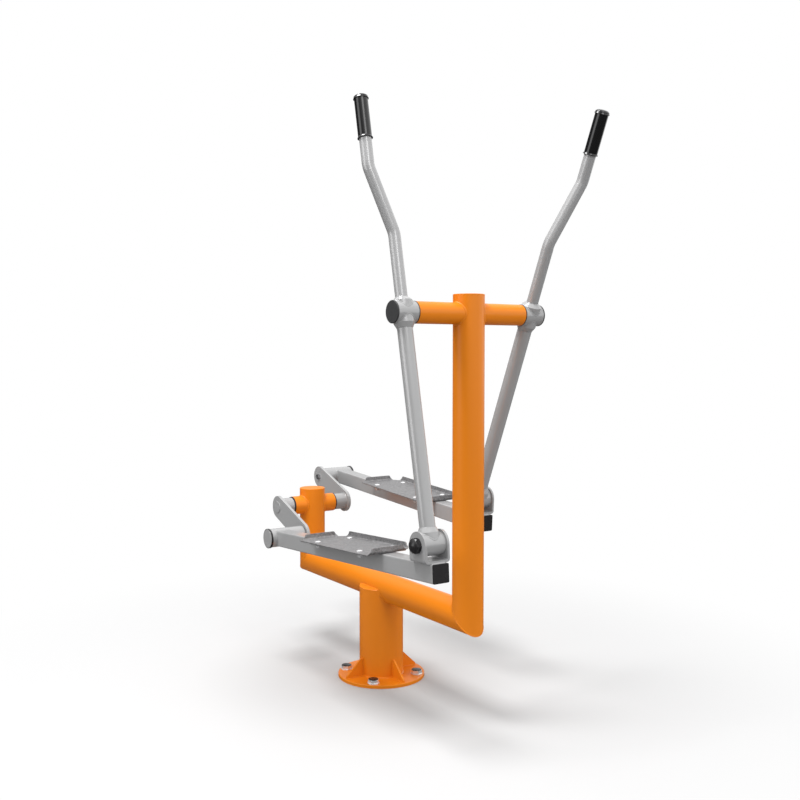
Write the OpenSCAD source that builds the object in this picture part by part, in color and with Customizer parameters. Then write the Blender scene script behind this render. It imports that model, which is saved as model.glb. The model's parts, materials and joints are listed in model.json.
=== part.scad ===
// Outdoor cross trainer: a fixed orange frame on a bolted pedestal, two swinging arms with
// handles, two foot treadles, and a crank at the rear.
// +X points to the tall front post, +Y to the user's left, +Z up. The origin is on the ground,
// under the middle of the pedestal. Lengths are millimetres.

/* [Frame] */
// Outer diameter of the beam and of both posts
frame_tube_d = 88.9; // [82:0.1:96]
// Wall of the beam and posts
frame_tube_wall = 4; // [3:0.5:6]
// Distance from the pedestal axis forward to the front post axis
front_reach = 452; // [430:1:480]
// Distance from the pedestal axis back to the rear post axis
rear_reach = 459; // [440:1:480]
// Height of the beam axis above the ground
beam_height = 290; // [270:1:310]
// Rise of the front post's top above the arms' swing axis
front_post_rise = 54; // [45:1:110]
// Rise of the rear post's top above the crankshaft axis
rear_post_rise = 58; // [45:1:110]
// Thickness of the discs that close the posts
post_cap_thick = 4; // [3:0.5:8]

/* [Base] */
// Outer diameter of the pedestal tube
pedestal_d = 139.7; // [125:0.1:150]
// Wall of the pedestal tube
pedestal_wall = 5; // [4:0.5:8]
// Thickness of the plate that closes the pedestal beside the beam
pedestal_top_thick = 6; // [4:0.5:10]
// Diameter of the base flange
flange_d = 276; // [270:1:320]
// Thickness of the base flange
flange_thick = 10; // [8:0.5:16]
// Diameter of the circle through the anchor holes
anchor_circle_d = 230; // [220:1:234]
// Diameter of the anchor holes, for M20 studs
anchor_hole_d = 22; // [21:0.5:24]
// Number of anchor holes, with a gusset between each two
anchor_count = 4; // [3:1:6]
// How far a gusset reaches out from the pedestal
gusset_reach = 60; // [40:1:63]
// Height of a gusset on the pedestal
gusset_height = 56; // [40:1:90]
// Thickness of a gusset
gusset_thick = 6; // [5:0.5:10]

/* [Linkage] */
// Height of the axis that both arms swing on
handle_axis_height = 1142; // [1130:1:1150]
// Height of the crankshaft axis
crank_axis_height = 492; // [480:1:500]
// Distance from the crankshaft axis to a crank pin
crank_throw = 195; // [175:1:205]
// Angle of the right crank above the forward horizontal, in the stored pose
crank_rest_angle = -20.5; // [-40:0.5:-5]
// Distance from the arm's swing axis to its foot pivot
arm_length = 611; // [600:1:625]
// Distance along the treadle bar from the crank pin to the foot pivot
pivot_reach = 855; // [840:1:870]
// Height of the foot pivot above the treadle bar's axis
pivot_rise = 70; // [67:0.5:75]
// Distance from the middle plane to the middle of an arm and a treadle
arm_plane = 219.3; // [219:0.1:230]

/* [Arm] */
// Outer diameter of the cross tube, the arm hubs and the treadle's rear hub
hub_d = 60.3; // [60:0.1:64]
// Half length of the cross tube through the front post
cross_tube_half = 184.2; // [180:0.1:185]
// Length of an arm hub
hub_length = 66; // [62:0.5:68]
// Radius of the round boss that carries an arm tube on its hub
socket_r = 28.5; // [27:0.1:29]
// Height of the boss above the hub's axis, where its cone begins
socket_shoulder = 30; // [28:0.5:32]
// Height of the handle cone's small end above the hub's axis
handle_socket_top = 39.5; // [38:0.5:48]
// Distance from a hub's axis to the small end of a lower arm's cone
arm_socket_top = 43; // [40:0.5:48]
// Outer diameter of the lower arm tube
lower_arm_d = 42.4; // [38:0.1:48.3]
// Wall of the lower arm tube
lower_arm_wall = 3; // [2:0.5:4]
// Outer diameter of the handle tube
handle_d = 33.7; // [30:0.1:36]
// Wall of the handle tube
handle_wall = 2.6; // [2:0.1:4]
// Distance from the hub's axis up to the handle's first bend
first_bend_at = 216; // [180:1:240]
// Distance from the hub's axis up to the handle's second bend
second_bend_at = 395.5; // [370:0.5:430]
// Distance that the two bends move the handle outwards
handle_offset = 58.7; // [30:0.1:80]
// Centre line radius of both bends
bend_r = 65; // [50:1:150]
// Distance from the hub's axis up to the grip's lower end
grip_start = 473; // [460:1:500]
// Distance from the hub's axis up to the grip's top
grip_top = 595; // [580:1:620]
// Diameter of the grip
grip_d = 37.6; // [37:0.1:42]
// Diameter of the grip's two flared lips
grip_lip_d = 42; // [40:0.5:50]

/* [Crank] */
// Outer diameter of the crank bearing housing
housing_d = 63.5; // [62:0.1:70]
// Half length of the crank bearing housing, between its dust covers
housing_half = 80; // [75:0.5:82]
// Radius of the rounded ends of a crank arm
crank_arm_r = 38.5; // [34:0.5:42]
// Thickness of a crank arm
crank_arm_thick = 10; // [8:0.5:12]
// Distance from the middle plane to the outer face of a crank arm
crank_arm_outer = 138.1; // [134:0.1:138.5]
// Diameter of the boss between crank arm and housing
crank_boss_d = 57; // [50:0.5:60]
// Diameter of the crankshaft
crankshaft_d = 30; // [25:0.5:32]
// Diameter of the cap over the crankshaft's end
crank_cap_d = 40; // [38:0.1:50]
// Thickness of the cap over the crankshaft's end
crank_cap_thick = 2.2; // [1:0.1:2.4]

/* [Treadle] */
// Side of the square treadle bar
bar_side = 50; // [46:0.5:54]
// Wall of the treadle bar
bar_wall = 3; // [2:0.5:4]
// Outer corner radius of the treadle bar
bar_corner_r = 4; // [2:0.5:6]
// How far the treadle bar runs on in front of the foot pivot
bar_overhang = 48; // [44:1:75]
// Distance from the middle plane to the inner end of the rear hub
rear_hub_inner = 140.8; // [140.8:0.1:142]
// Distance from the middle plane to the outer end of the rear hub
rear_hub_outer = 260; // [250:0.5:264]
// Width of the clevis over its ears
clevis_width = 76; // [74:0.5:80]
// Thickness of the clevis plate
clevis_thick = 6; // [5:0.5:6]
// Radius of the clevis ears
clevis_ear_r = 36; // [34:0.5:38]
// Diameter of the foot pivot bolt
pivot_bolt_d = 20; // [16:0.5:20]

/* [Foot plate] */
// Distance along the bar from the crank pin to the plate's rear edge
plate_start = 286; // [280:1:300]
// Length of the foot plate
plate_length = 382; // [350:1:400]
// Width of the foot plate
plate_width = 156; // [150:1:156]
// Thickness of the sheet
plate_thick = 3; // [2:0.5:4]
// Height of the raised edges above the standing surface
lip_height = 15.5; // [14:0.5:25]
// Inner radius of the folds
fold_r = 5; // [3:0.5:7]
// Corner cut of the plate, and slant of the raised edges' ends
corner_cut = 16; // [10:0.5:20]
// Half distance between the plate bolts along the bar
plate_bolt_half_x = 119; // [100:1:130]
// Half distance between the plate bolts across the bar
plate_bolt_half_y = 55; // [48:0.5:58]

/* [Hidden] */
$fn = 96;
overrun = 5;
// Gap between bodies that move against each other
run_gap = 0.3;
// Radial clearance of a shaft that turns in its bearing
running_fit = 0.05;
// Radial clearance of a bearing in its seat and of a pressed plug
seat_fit = 0.02;
// Clearance of a tube or shaft in the hole, saddle or sleeve that it is fixed in
weld_fit = 0.1;

orange = [0.93, 0.52, 0.16];
silver = [0.66, 0.66, 0.67];
zinc = [0.8, 0.81, 0.82];
galvanised = [0.52, 0.52, 0.53];
black = [0.1, 0.1, 0.11];
charcoal = [0.27, 0.27, 0.28];
steel = [0.72, 0.72, 0.73];

RIGHT = -1;
LEFT = 1;

// Heights and ends that follow from the sizes above
front_post_height = handle_axis_height + front_post_rise;
rear_post_height = crank_axis_height + rear_post_rise;
bar_end = pivot_reach + bar_overhang;

// Small edge sizes
flange_chamfer = 1.5;
cap_chamfer = 1;
gusset_edge = 6;

// Anchor hardware: low M20 cap nut with a flat top, and washer
anchor_nut_af = 30;
anchor_nut_height = 10;
anchor_nut_roof = 2;
anchor_thread_d = 20;
anchor_washer_d = 37;
anchor_washer_thick = 2.5;
anchor_washer_hole_d = 21.5;

// Bearings: handle and rear hub 25 x 52 x 15, foot pivot 20 x 47 x 14, crank 30 x 55 x 13
axle_d = 25;
hub_bearing_d = 52;
hub_bearing_width = 15;
foot_bearing_d = 47;
foot_bearing_width = 14;
crank_bearing_d = 55;
crank_bearing_width = 13;
bearing_ring = 3.5;
bearing_groove = 0.8;
bearing_shoulder = 3;

// Cross direction of the arm hub, from the middle plane outwards
hub_slit = 0.8;
hub_inner = cross_tube_half + hub_slit;
hub_outer = hub_inner + hub_length;
hub_cap_thick = 4;
hub_cap_rim = 0.7;
hub_plug_depth = 3;
hub_plug_wall = 2;
hub_bearing_inset = 3;
hub_screw_room = 10;
axle_washer_d = 32;
axle_washer_thick = 3;
axle_screw_af = 16;
axle_screw_head = 6;
axle_screw_d = 10;
axle_screw_length = 20;
axle_screw_shank = 15;
axle_collar_length = 22;
axle_collar_inset = 2;
axle_shoulder_d = 31;
cross_tube_wall = 4;

// Arm tubes
socket_depth = 10;
handle_seat = handle_socket_top - socket_depth;
arm_seat = arm_socket_top - socket_depth;
socket_lip = 1;
bend_angle = atan2(handle_offset, second_bend_at - first_bend_at);
bend_tangent = bend_r * tan(bend_angle / 2);
bend_lap = 1;
bend_step = 0.1;
slope_length = (second_bend_at - first_bend_at) / cos(bend_angle);
grip_lip = 1.2;
grip_flare = 5;
grip_cap_length = 12;
grip_cap_step = 0.6;
grip_dome = 4;
grip_shoulder = 2.5;
grip_wall_top = 3;
handle_tube_end = grip_top - grip_wall_top - grip_dome;

// Foot hub between the clevis ears, from its own middle
ear_inside = clevis_width / 2 - clevis_thick;
foot_hub_half = ear_inside - run_gap;
foot_bearing_inset = 1.5;

// Crank
dust_cover_d = 62;
dust_cover_thick = 4;
dust_cover_gap = 0.5;
crank_boss_start = housing_half + dust_cover_thick + dust_cover_gap;
crank_arm_inner = crank_arm_outer - crank_arm_thick;
pin_screw_d = 12;
pin_screw_af = 18;
pin_screw_head = 7.5;
cap_edge = 0.6;

// Rear hub and its axle
rear_bearing_inset = 2.5;
rear_axle_head_d = 34;
rear_axle_head = 4;
rear_axle_thread_d = 10.2;
rear_axle_thread_depth = 28;
rear_cap_ring = 6;
rear_cap_d = 64;
rear_cap_face_d = 61;
rear_cap_face = 1;
rear_cap_recess = 2;
rear_plug_length = 4;

// Treadle bar furniture
bar_plug_face = 3;
bar_plug_depth = 14;
bar_inner = bar_side - 2 * bar_wall;
lug_thick = 5;
lug_half = 18;
lug_margin = 13;
lug_reach = plate_bolt_half_y + lug_margin;
clevis_bend_r = 9;
clevis_root_r = 3;
pivot_head_af = 30;
pivot_head = 12.5;
pivot_nut_height = 11;
pivot_nut_af = 30;
pivot_cap_d = 40;
pivot_cap_flange = 4;
pivot_cap_af = 37;
pivot_cap_height = 22;
pivot_cap_ball_r = 24;
pivot_cap_clear = 0.3;
ear_hole_fit = 0.3;

// Plate bolts: M8, round head above, nut below
plate_bolt_d = 8;
plate_bolt_hole_d = 9;
plate_head_d = 18;
plate_head = 4;
plate_nut_af = 13;
plate_nut = 6.5;
plate_bolt_tail = 3;
fold_outer = fold_r + plate_thick;
bar_top = bar_side / 2;
plate_top = bar_top + plate_thick;
lip_round = 6;
open_tab = 8;
tab_slit = 1;
sheet_corner = 5;

// The linkage in its stored pose. The right crank is at its rest angle and the left one is
// opposite. Each treadle and arm close on the crank pin and the handle axis.
coupler = norm([pivot_reach, pivot_rise]);
function crank_angle(side) = side == RIGHT ? crank_rest_angle : crank_rest_angle + 180;
function pin_x(side) = -rear_reach + crank_throw * cos(crank_angle(side));
function pin_z(side) = crank_axis_height + crank_throw * sin(crank_angle(side));
function reach_x(side) = front_reach - pin_x(side);
function reach_z(side) = handle_axis_height - pin_z(side);
function span(side) = norm([reach_x(side), reach_z(side)]);
function opening(side) =
    acos((pow(coupler, 2) + pow(span(side), 2) - pow(arm_length, 2)) / (2 * coupler * span(side)));
function coupler_angle(side) = atan2(reach_z(side), reach_x(side)) - opening(side);
function foot_x(side) = pin_x(side) + coupler * cos(coupler_angle(side));
function foot_z(side) = pin_z(side) + coupler * sin(coupler_angle(side));
// Angle of an arm from straight down, positive with its foot end forward
function arm_angle(side) = atan2(foot_x(side) - front_reach, handle_axis_height - foot_z(side));
// Slope of a treadle bar, positive with its front end up
function bar_pitch(side) = coupler_angle(side) - atan2(pivot_rise, pivot_reach);

echo(right_arm = arm_angle(RIGHT), left_arm = arm_angle(LEFT));
echo(right_pitch = bar_pitch(RIGHT), left_pitch = bar_pitch(LEFT));
echo(right_pin = [pin_x(RIGHT), pin_z(RIGHT)], left_pin = [pin_x(LEFT), pin_z(LEFT)]);
echo(right_foot = [foot_x(RIGHT), foot_z(RIGHT)], left_foot = [foot_x(LEFT), foot_z(LEFT)]);

// General shapes

// A cylinder across the object, from y0 to y1
module across(y0, y1, r) {
    translate([0, y0, 0]) rotate([-90, 0, 0]) cylinder(h = y1 - y0, r = r);
}

// A hexagonal bar across the object, with flats af apart
module hex_across(y0, y1, af) {
    translate([0, y0, 0]) rotate([-90, 0, 0]) cylinder(h = y1 - y0, r = af / 2 / cos(30), $fn = 6);
}

// A piece modelled on the left, or its mirror image on the right
module on_side(side) {
    if (side == RIGHT) mirror([0, 1, 0]) children();
    else children();
}

// A disc with one chamfered edge on top
module chamfered_disc(r, thick, chamfer) {
    rotate_extrude() polygon([[0, 0], [r, 0], [r, thick - chamfer], [r - chamfer, thick], [0, thick]]);
}

// A deep-groove bearing between y0 and y0 + width: two rings with sealed faces set back
module bearing(y0, width, bore_r, outer_r) {
    translate([0, y0, 0]) rotate([-90, 0, 0]) rotate_extrude() polygon([
        [bore_r, 0], [bore_r + bearing_ring, 0], [bore_r + bearing_ring, bearing_groove],
        [outer_r - bearing_ring, bearing_groove], [outer_r - bearing_ring, 0], [outer_r, 0],
        [outer_r, width], [outer_r - bearing_ring, width],
        [outer_r - bearing_ring, width - bearing_groove],
        [bore_r + bearing_ring, width - bearing_groove], [bore_r + bearing_ring, width],
        [bore_r, width]
    ]);
}

// Frames of the moving pieces

module at_hub_axis(side) {
    translate([front_reach, 0, handle_axis_height]) rotate([0, -arm_angle(side), 0]) children();
}

module at_foot_pivot(side) {
    translate([foot_x(side), 0, foot_z(side)]) rotate([0, -arm_angle(side), 0]) children();
}

module at_crank_axis(side) {
    translate([-rear_reach, 0, crank_axis_height]) rotate([0, -crank_angle(side), 0]) children();
}

module at_crank_pin(side) {
    translate([pin_x(side), 0, pin_z(side)]) rotate([0, -bar_pitch(side), 0]) children();
}

// Fixed frame

module base_flange() {
    color(orange) difference() {
        chamfered_disc(flange_d / 2, flange_thick, flange_chamfer);
        at_anchors() translate([0, 0, -overrun])
            cylinder(h = flange_thick + 2 * overrun, d = anchor_hole_d);
    }
}

module at_anchors() {
    for (i = [0:anchor_count - 1])
        rotate([0, 0, (i + 0.5) * 360 / anchor_count]) translate([anchor_circle_d / 2, 0, 0]) children();
}

module base_gussets() {
    color(orange) for (i = [0:anchor_count - 1]) rotate([0, 0, i * 360 / anchor_count]) difference() {
        translate([0, gusset_thick / 2, flange_thick]) rotate([90, 0, 0])
            linear_extrude(gusset_thick) gusset_outline();
        translate([0, 0, -overrun]) cylinder(h = beam_height, r = pedestal_d / 2 + weld_fit);
    }
}

// A triangle with a blunt foot, so that its weld goes round the end
module gusset_outline() {
    foot = pedestal_d / 2 + gusset_reach;
    polygon([
        [pedestal_d / 2 - pedestal_wall, 0], [foot, 0], [foot, gusset_edge],
        [pedestal_d / 2 + gusset_edge, gusset_height], [pedestal_d / 2 - pedestal_wall, gusset_height]
    ]);
}

module pedestal_tube() {
    height = beam_height - pedestal_top_thick - flange_thick;
    color(orange) difference() {
        translate([0, 0, flange_thick]) cylinder(h = height, d = pedestal_d);
        translate([0, 0, flange_thick - overrun])
            cylinder(h = height + 2 * overrun, d = pedestal_d - 2 * pedestal_wall);
        beam_saddle();
    }
}

// The space that the beam takes in what is welded under it
module beam_saddle() {
    translate([-pedestal_d / 2 - overrun, 0, beam_height]) rotate([0, 90, 0])
        cylinder(h = pedestal_d + 2 * overrun, r = frame_tube_d / 2 + weld_fit);
}

module pedestal_top_plate() {
    color(orange) difference() {
        translate([0, 0, beam_height - pedestal_top_thick])
            chamfered_disc(pedestal_d / 2, pedestal_top_thick, cap_chamfer);
        beam_saddle();
    }
}

// One side of the mitre between the beam and a post: the half space on the post's side
module mitre_block(corner_x, tilt) {
    translate([corner_x, 0, beam_height]) rotate([0, tilt, 0])
        translate([-frame_tube_d, -frame_tube_d, 0])
            cube([2 * frame_tube_d, 2 * frame_tube_d, frame_tube_d]);
}

module frame_beam() {
    length = front_reach + rear_reach + frame_tube_d;
    color(orange) difference() {
        translate([-rear_reach - frame_tube_d / 2, 0, beam_height]) rotate([0, 90, 0]) difference() {
            cylinder(h = length, d = frame_tube_d);
            translate([0, 0, -overrun])
                cylinder(h = length + 2 * overrun, d = frame_tube_d - 2 * frame_tube_wall);
        }
        mitre_block(front_reach, 45);
        mitre_block(-rear_reach, -45);
    }
}

// A post from the mitre up to the underside of its cap, with a hole for a cross tube
module post(x, top, tilt, hole_height, hole_d) {
    height = top - post_cap_thick - (beam_height - frame_tube_d / 2);
    difference() {
        translate([x, 0, beam_height - frame_tube_d / 2]) difference() {
            cylinder(h = height, d = frame_tube_d);
            translate([0, 0, -overrun])
                cylinder(h = height + 2 * overrun, d = frame_tube_d - 2 * frame_tube_wall);
        }
        translate([x, 0, beam_height]) rotate([0, tilt, 0])
            translate([-frame_tube_d, -frame_tube_d, -frame_tube_d])
                cube([2 * frame_tube_d, 2 * frame_tube_d, frame_tube_d]);
        translate([x, 0, hole_height]) across(-frame_tube_d, frame_tube_d, hole_d / 2 + weld_fit);
    }
}

module rear_post() {
    color(orange) post(-rear_reach, rear_post_height, -45, crank_axis_height, housing_d);
}

module front_post() {
    color(orange) post(front_reach, front_post_height, 45, handle_axis_height, hub_d);
}

module post_caps() {
    color(orange) {
        translate([front_reach, 0, front_post_height - post_cap_thick])
            chamfered_disc(frame_tube_d / 2, post_cap_thick, cap_chamfer);
        translate([-rear_reach, 0, rear_post_height - post_cap_thick])
            chamfered_disc(frame_tube_d / 2, post_cap_thick, cap_chamfer);
    }
}

module handle_cross_tube() {
    color(orange) translate([front_reach, 0, handle_axis_height]) difference() {
        across(-cross_tube_half, cross_tube_half, hub_d / 2);
        across(-cross_tube_half - overrun, cross_tube_half + overrun, hub_d / 2 - cross_tube_wall);
    }
}

// Where the axle ends, at the outer face of the outer bearing
axle_end = hub_outer - hub_screw_room;

// One axle for both arms. A collar near each end of the cross tube carries it
module handle_axle() {
    collar_out = cross_tube_half - axle_collar_inset;
    collar_in = collar_out - axle_collar_length;
    shoulder_out = hub_inner + hub_bearing_inset;
    color(steel) translate([front_reach, 0, handle_axis_height]) difference() {
        union() {
            across(-axle_end, axle_end, axle_d / 2);
            for (side = [RIGHT, LEFT]) on_side(side) {
                across(collar_in, collar_out, hub_d / 2 - cross_tube_wall - weld_fit);
                across(collar_in, shoulder_out, axle_shoulder_d / 2);
            }
        }
        for (side = [RIGHT, LEFT]) on_side(side)
            across(axle_end - axle_screw_length, axle_end + overrun, axle_screw_d / 2 + seat_fit);
    }
}

// A screw and washer in each end of the axle keep the arm on it
module axle_end_screws() {
    color(zinc) translate([front_reach, 0, handle_axis_height])
        for (side = [RIGHT, LEFT]) on_side(side) {
            across(axle_end, axle_end + axle_washer_thick, axle_washer_d / 2);
            hex_across(axle_end + axle_washer_thick,
                axle_end + axle_washer_thick + axle_screw_head, axle_screw_af);
            across(axle_end - axle_screw_shank, axle_end + axle_washer_thick, axle_screw_d / 2);
        }
}

module crank_housing() {
    seat = housing_half - crank_bearing_width;
    color(orange) translate([-rear_reach, 0, crank_axis_height]) difference() {
        across(-housing_half, housing_half, housing_d / 2);
        across(-seat - overrun, seat + overrun, crank_bearing_d / 2 - bearing_shoulder);
        for (side = [RIGHT, LEFT]) on_side(side)
            across(seat, housing_half + overrun, crank_bearing_d / 2);
    }
}

// Each bearing is one solid with the dark dust cover that closes the housing's end
module crank_bearings() {
    outer_r = crank_bearing_d / 2 - seat_fit;
    color(black) translate([-rear_reach, 0, crank_axis_height])
        for (side = [RIGHT, LEFT]) on_side(side) {
            bearing(housing_half - crank_bearing_width, crank_bearing_width,
                crankshaft_d / 2 + running_fit, outer_r);
            difference() {
                union() {
                    across(housing_half, housing_half + dust_cover_thick, dust_cover_d / 2);
                    across(housing_half - crank_bearing_width / 2, housing_half + dust_cover_thick / 2,
                        outer_r);
                }
                across(0, housing_half + dust_cover_thick + overrun, outer_r - bearing_ring);
            }
        }
}

module anchor_nuts() {
    color(zinc) at_anchors() translate([0, 0, flange_thick + anchor_washer_thick]) difference() {
        cylinder(h = anchor_nut_height, r = anchor_nut_af / 2 / cos(30), $fn = 6);
        translate([0, 0, -overrun])
            cylinder(h = anchor_nut_height - anchor_nut_roof + overrun, d = anchor_thread_d);
    }
}

module anchor_washers() {
    color(zinc) at_anchors() translate([0, 0, flange_thick]) difference() {
        cylinder(h = anchor_washer_thick, d = anchor_washer_d);
        translate([0, 0, -overrun])
            cylinder(h = anchor_washer_thick + 2 * overrun, d = anchor_washer_hole_d);
    }
}

// Crank

module crankshaft() {
    color(steel) translate([-rear_reach, 0, crank_axis_height])
        across(-crank_arm_outer, crank_arm_outer, crankshaft_d / 2);
}

// A plate with round ends, and the boss that keeps it off the housing
module crank_arm(side) {
    color(silver) at_crank_axis(side) on_side(side) difference() {
        union() {
            translate([0, crank_arm_outer, 0]) rotate([90, 0, 0]) linear_extrude(crank_arm_thick) {
                circle(r = crank_arm_r);
                translate([crank_throw, 0]) circle(r = crank_arm_r);
                translate([0, -crank_arm_r]) square([crank_throw, 2 * crank_arm_r]);
            }
            across(crank_boss_start, crank_arm_inner + crank_arm_thick / 2, crank_boss_d / 2);
        }
        across(0, crank_arm_outer + overrun, crankshaft_d / 2 + weld_fit);
        translate([crank_throw, 0, 0])
            across(crank_arm_inner - overrun, crank_arm_outer + overrun, pin_screw_d / 2 + seat_fit);
    }
}

module right_crank_arm() crank_arm(RIGHT);

module left_crank_arm() crank_arm(LEFT);

module crank_caps() {
    color(silver) translate([-rear_reach, 0, crank_axis_height])
        for (side = [RIGHT, LEFT]) on_side(side)
            translate([0, crank_arm_outer, 0]) rotate([-90, 0, 0])
                chamfered_disc(crank_cap_d / 2, crank_cap_thick, cap_edge);
}

// The screw that holds the rear axle, with its head on the inner face of the crank arm
module crank_pin_screws() {
    color(steel) for (side = [RIGHT, LEFT]) at_crank_axis(side) on_side(side)
        translate([crank_throw, 0, 0]) {
            hex_across(crank_arm_inner - pin_screw_head, crank_arm_inner, pin_screw_af);
            across(crank_arm_inner - pin_screw_head / 2, crank_arm_outer, pin_screw_d / 2);
        }
}

// Arms

// The round boss and cone that carry a tube, along +Z from a hub's axis
module socket(tube_d, top) {
    small_r = tube_d / 2 + socket_lip;
    rotate_extrude() polygon([[0, 0], [socket_r, 0], [socket_r, socket_shoulder],
        [small_r, top], [0, top]]);
}

// The hole in a socket that the tube's end stands in
module socket_hole(tube_d, top) {
    translate([0, 0, top - socket_depth]) cylinder(h = socket_depth + overrun, r = tube_d / 2 + weld_fit);
}

module arm_hub(side) {
    seat_in = hub_inner + hub_bearing_inset + hub_bearing_width;
    seat_out = axle_end - hub_bearing_width;
    color(silver) at_hub_axis(side) on_side(side) difference() {
        union() {
            across(hub_inner, hub_outer, hub_d / 2);
            translate([0, arm_plane, 0]) socket(handle_d, handle_socket_top);
            translate([0, arm_plane, 0]) rotate([180, 0, 0]) socket(lower_arm_d, arm_socket_top);
        }
        across(hub_inner - overrun, hub_outer + overrun, hub_bearing_d / 2 - bearing_shoulder);
        across(hub_inner - overrun, seat_in, hub_bearing_d / 2);
        across(seat_out, hub_outer + overrun, hub_bearing_d / 2);
        translate([0, arm_plane, 0]) socket_hole(handle_d, handle_socket_top);
        translate([0, arm_plane, 0]) rotate([180, 0, 0]) socket_hole(lower_arm_d, arm_socket_top);
    }
}

module right_arm_hub() arm_hub(RIGHT);

module left_arm_hub() arm_hub(LEFT);

module lower_arm(side) {
    length = arm_length - 2 * arm_seat;
    color(silver) at_hub_axis(side) on_side(side) translate([0, arm_plane, -arm_seat - length])
        linear_extrude(length) ring(lower_arm_d / 2, lower_arm_wall);
}

module right_lower_arm() lower_arm(RIGHT);

module left_lower_arm() lower_arm(LEFT);

module ring(r, wall) {
    difference() {
        circle(r = r);
        circle(r = r - wall);
    }
}

// A solid bend from straight up towards +Y
module bend(r) {
    translate([0, bend_r, 0]) rotate([90, 0, -90]) rotate_extrude(angle = bend_angle)
        translate([bend_r, 0]) circle(r = r);
}

module straight_run(from, to, r) {
    translate([0, 0, from]) cylinder(h = to - from, r = r);
}

// The handle runs up from the hub, slopes outwards, and runs up again inside the grip. The
// straight runs reach a little way over the bends, which are a hair thinner than them
module handle_path(run_r, past) {
    first = first_bend_at - bend_tangent - handle_seat;
    slope = slope_length - 2 * bend_tangent;
    last = handle_tube_end - second_bend_at - bend_tangent;
    step_y = bend_r * (1 - cos(bend_angle));
    step_z = bend_r * sin(bend_angle);
    r = run_r - bend_step;
    straight_run(-past, first + bend_lap, run_r);
    translate([0, 0, first]) {
        bend(r);
        translate([0, step_y, step_z]) rotate([-bend_angle, 0, 0]) {
            straight_run(-bend_lap, slope + bend_lap, run_r);
            translate([0, 0, slope]) {
                mirror([0, 1, 0]) bend(r);
                translate([0, -step_y, step_z]) rotate([bend_angle, 0, 0])
                    straight_run(-bend_lap, last + past, run_r);
            }
        }
    }
}

module handle_tube(side) {
    color(silver) at_hub_axis(side) on_side(side) translate([0, arm_plane, handle_seat]) difference() {
        handle_path(handle_d / 2, 0);
        handle_path(handle_d / 2 - handle_wall, overrun);
    }
}

module right_handle_tube() handle_tube(RIGHT);

module left_handle_tube() handle_tube(LEFT);

// A rubber sleeve that flares to a thin lip below, with a flared cap and a low dome on top
module grip(side) {
    length = grip_top - grip_start;
    body_r = grip_d / 2;
    lip_r = grip_lip_d / 2;
    cap_r = body_r + grip_cap_step;
    cap_from = length - grip_cap_length;
    dome_from = length - grip_dome;
    dome_r = cap_r - grip_shoulder;
    bore_r = handle_d / 2 + weld_fit;
    bore_top = handle_tube_end - grip_start + run_gap;
    shoulder = [for (a = [0:15:90])
        [dome_r + grip_shoulder * cos(a), dome_from - grip_shoulder * (1 - sin(a))]];
    dome = [for (a = [15:15:75]) [dome_r * cos(a), dome_from + grip_dome * sin(a)]];
    color(black) at_hub_axis(side) on_side(side)
        translate([0, arm_plane + handle_offset, grip_start]) rotate_extrude() polygon(concat(
            [[bore_r, 0], [lip_r, 0], [lip_r, grip_lip], [body_r + grip_lip, grip_flare / 2],
            [body_r, grip_flare], [body_r, cap_from], [lip_r, cap_from], [lip_r, cap_from + grip_lip],
            [cap_r, cap_from + grip_flare]],
            shoulder, dome, [[0, length], [0, bore_top], [bore_r, bore_top]]
        ));
}

module right_grip() grip(RIGHT);

module left_grip() grip(LEFT);

// A pressed cap over the hub's end, with a rim that plugs into the bore
module hub_cap(side) {
    plug_r = hub_bearing_d / 2 - seat_fit;
    color(charcoal) at_hub_axis(side) on_side(side) {
        translate([0, hub_outer, 0]) rotate([-90, 0, 0])
            chamfered_disc(hub_d / 2 + hub_cap_rim, hub_cap_thick, cap_chamfer);
        difference() {
            across(hub_outer - hub_plug_depth, hub_outer + hub_cap_thick / 2, plug_r);
            across(hub_outer - hub_plug_depth - overrun, hub_outer, plug_r - hub_plug_wall);
        }
    }
}

module right_hub_cap() hub_cap(RIGHT);

module left_hub_cap() hub_cap(LEFT);

module hub_bearings(side) {
    color(steel) at_hub_axis(side) on_side(side)
        for (y = [hub_inner + hub_bearing_inset, axle_end - hub_bearing_width])
            bearing(y, hub_bearing_width, axle_d / 2 + running_fit, hub_bearing_d / 2 - seat_fit);
}

module right_hub_bearings() hub_bearings(RIGHT);

module left_hub_bearings() hub_bearings(LEFT);

module foot_hub(side) {
    seat = foot_hub_half - foot_bearing_inset - foot_bearing_width;
    color(silver) at_foot_pivot(side) on_side(side) translate([0, arm_plane, 0]) difference() {
        union() {
            across(-foot_hub_half, foot_hub_half, hub_d / 2);
            socket(lower_arm_d, arm_socket_top);
        }
        across(-foot_hub_half - overrun, foot_hub_half + overrun, foot_bearing_d / 2 - bearing_shoulder);
        for (end = [RIGHT, LEFT]) on_side(end) across(seat, foot_hub_half + overrun, foot_bearing_d / 2);
        socket_hole(lower_arm_d, arm_socket_top);
    }
}

module right_foot_hub() foot_hub(RIGHT);

module left_foot_hub() foot_hub(LEFT);

module foot_bearings(side) {
    seat = foot_hub_half - foot_bearing_inset - foot_bearing_width;
    color(steel) at_foot_pivot(side) on_side(side) translate([0, arm_plane, 0])
        for (end = [RIGHT, LEFT]) on_side(end)
            bearing(seat, foot_bearing_width, pivot_bolt_d / 2 + running_fit,
                foot_bearing_d / 2 - seat_fit);
}

module right_foot_bearings() foot_bearings(RIGHT);

module left_foot_bearings() foot_bearings(LEFT);

// Treadles

// A square with round corners, centred
module rounded_square(side, corner_r) {
    flat = side - 2 * corner_r;
    square([side, flat], center = true);
    square([flat, side], center = true);
    for (x = [-flat / 2, flat / 2]) for (y = [-flat / 2, flat / 2])
        translate([x, y]) circle(r = corner_r);
}

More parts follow.
